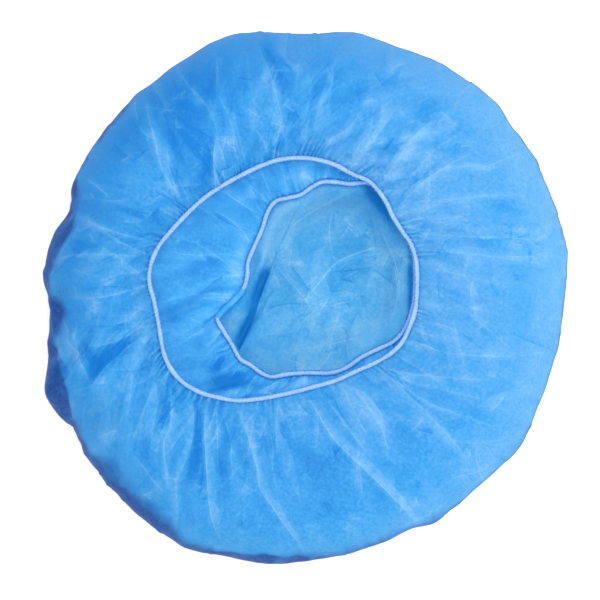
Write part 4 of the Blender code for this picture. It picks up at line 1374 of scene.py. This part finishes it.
# Colours from the deepest tone to the palest, and two between
OUTER_STOPS = (
    (0.0, (0.003, 0.195, 0.504)),
    (1.0, (0.275, 0.553, 0.700)),
    (0.36, (0.052, 0.348, 0.600)),
    (0.62, (0.140, 0.430, 0.651)),
)
# The inner layer's colours, brighter than the outer's: painted light against the shade inside the crown
INNER_STOPS = (
    (0.0, (0.002, 0.225, 0.620)),
    (1.0, (0.385, 0.775, 1.000)),
    (0.36, (0.076, 0.470, 0.830)),
    (0.62, (0.215, 0.605, 0.880)),
)
outer_look = cloth_material(
    "outer_cloth_look", OUTER_STOPS, painted_shade_tint=(0.09, 0.095, 0.26), through_share=0.54, grain=1.0
)
inner_look = cloth_material(
    "inner_cloth_look", INNER_STOPS, painted_shade_tint=(0.10, 0.16, 0.38), through_share=0.55, grain=0.62
)
cord_look = yarn_material("elastic_look", (0.23, 0.36, 0.64), (0.12, 0.26, 0.56))
outer_cloth.data.materials.append(outer_look)
inner_cloth.data.materials.append(inner_look)
cords = (outer_core, outer_yarn, inner_core, inner_yarn)
for piece in cords:
    piece.data.materials.append(cord_look)

for piece in (outer_cloth, inner_cloth, *cords):
    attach(piece, "root")
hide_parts("outer_layer")
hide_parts("inner_layer")
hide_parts("outer_elastic")
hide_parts("inner_elastic")


# ---- stage, light, camera ----

floor_mesh = bpy.data.meshes.new("studio_floor")
floor_mesh.from_pydata([(-3, -3, -0.0004), (3, -3, -0.0004), (3, 3, -0.0004), (-3, 3, -0.0004)], [], [(0, 1, 2, 3)])
studio_floor = bpy.data.objects.new("studio_floor", floor_mesh)
bpy.context.scene.collection.objects.link(studio_floor)
paper = bpy.data.materials.new("studio_paper")
paper.use_nodes = True
paper.node_tree.nodes["Principled BSDF"].inputs["Base Color"].default_value = (0.93, 0.93, 0.93, 1.0)
paper.node_tree.nodes["Principled BSDF"].inputs["Roughness"].default_value = 0.9
floor_mesh.materials.append(paper)

world = bpy.data.worlds.new("studio")
world.use_nodes = True
world.node_tree.nodes["Background"].inputs["Color"].default_value = (1.0, 1.0, 1.0, 1.0)
world.node_tree.nodes["Background"].inputs["Strength"].default_value = 1.6
bpy.context.scene.world = world

lamp_data = bpy.data.lights.new("key", "AREA")
lamp_data.shape = "DISK"
lamp_data.size = 0.60
lamp_data.energy = 12.0
lamp = bpy.data.objects.new("key", lamp_data)
lamp.location = (0.22, 0.13, 1.28)
lamp.rotation_euler = Vector(lamp.location).to_track_quat("Z", "Y").to_euler()
bpy.context.scene.collection.objects.link(lamp)

camera_data = bpy.data.cameras.new("camera")
camera_data.sensor_width = 36.0
camera_data.lens = 36.0 * CAMERA_DISTANCE / (600.0 * PIXEL_MM / 1000.0)
camera_data.clip_end = 20.0
camera = bpy.data.objects.new("camera", camera_data)
camera.location = CAMERA_PLACE
bpy.context.scene.collection.objects.link(camera)
bpy.context.scene.camera = camera
bpy.context.scene.view_settings.view_transform = "Standard"
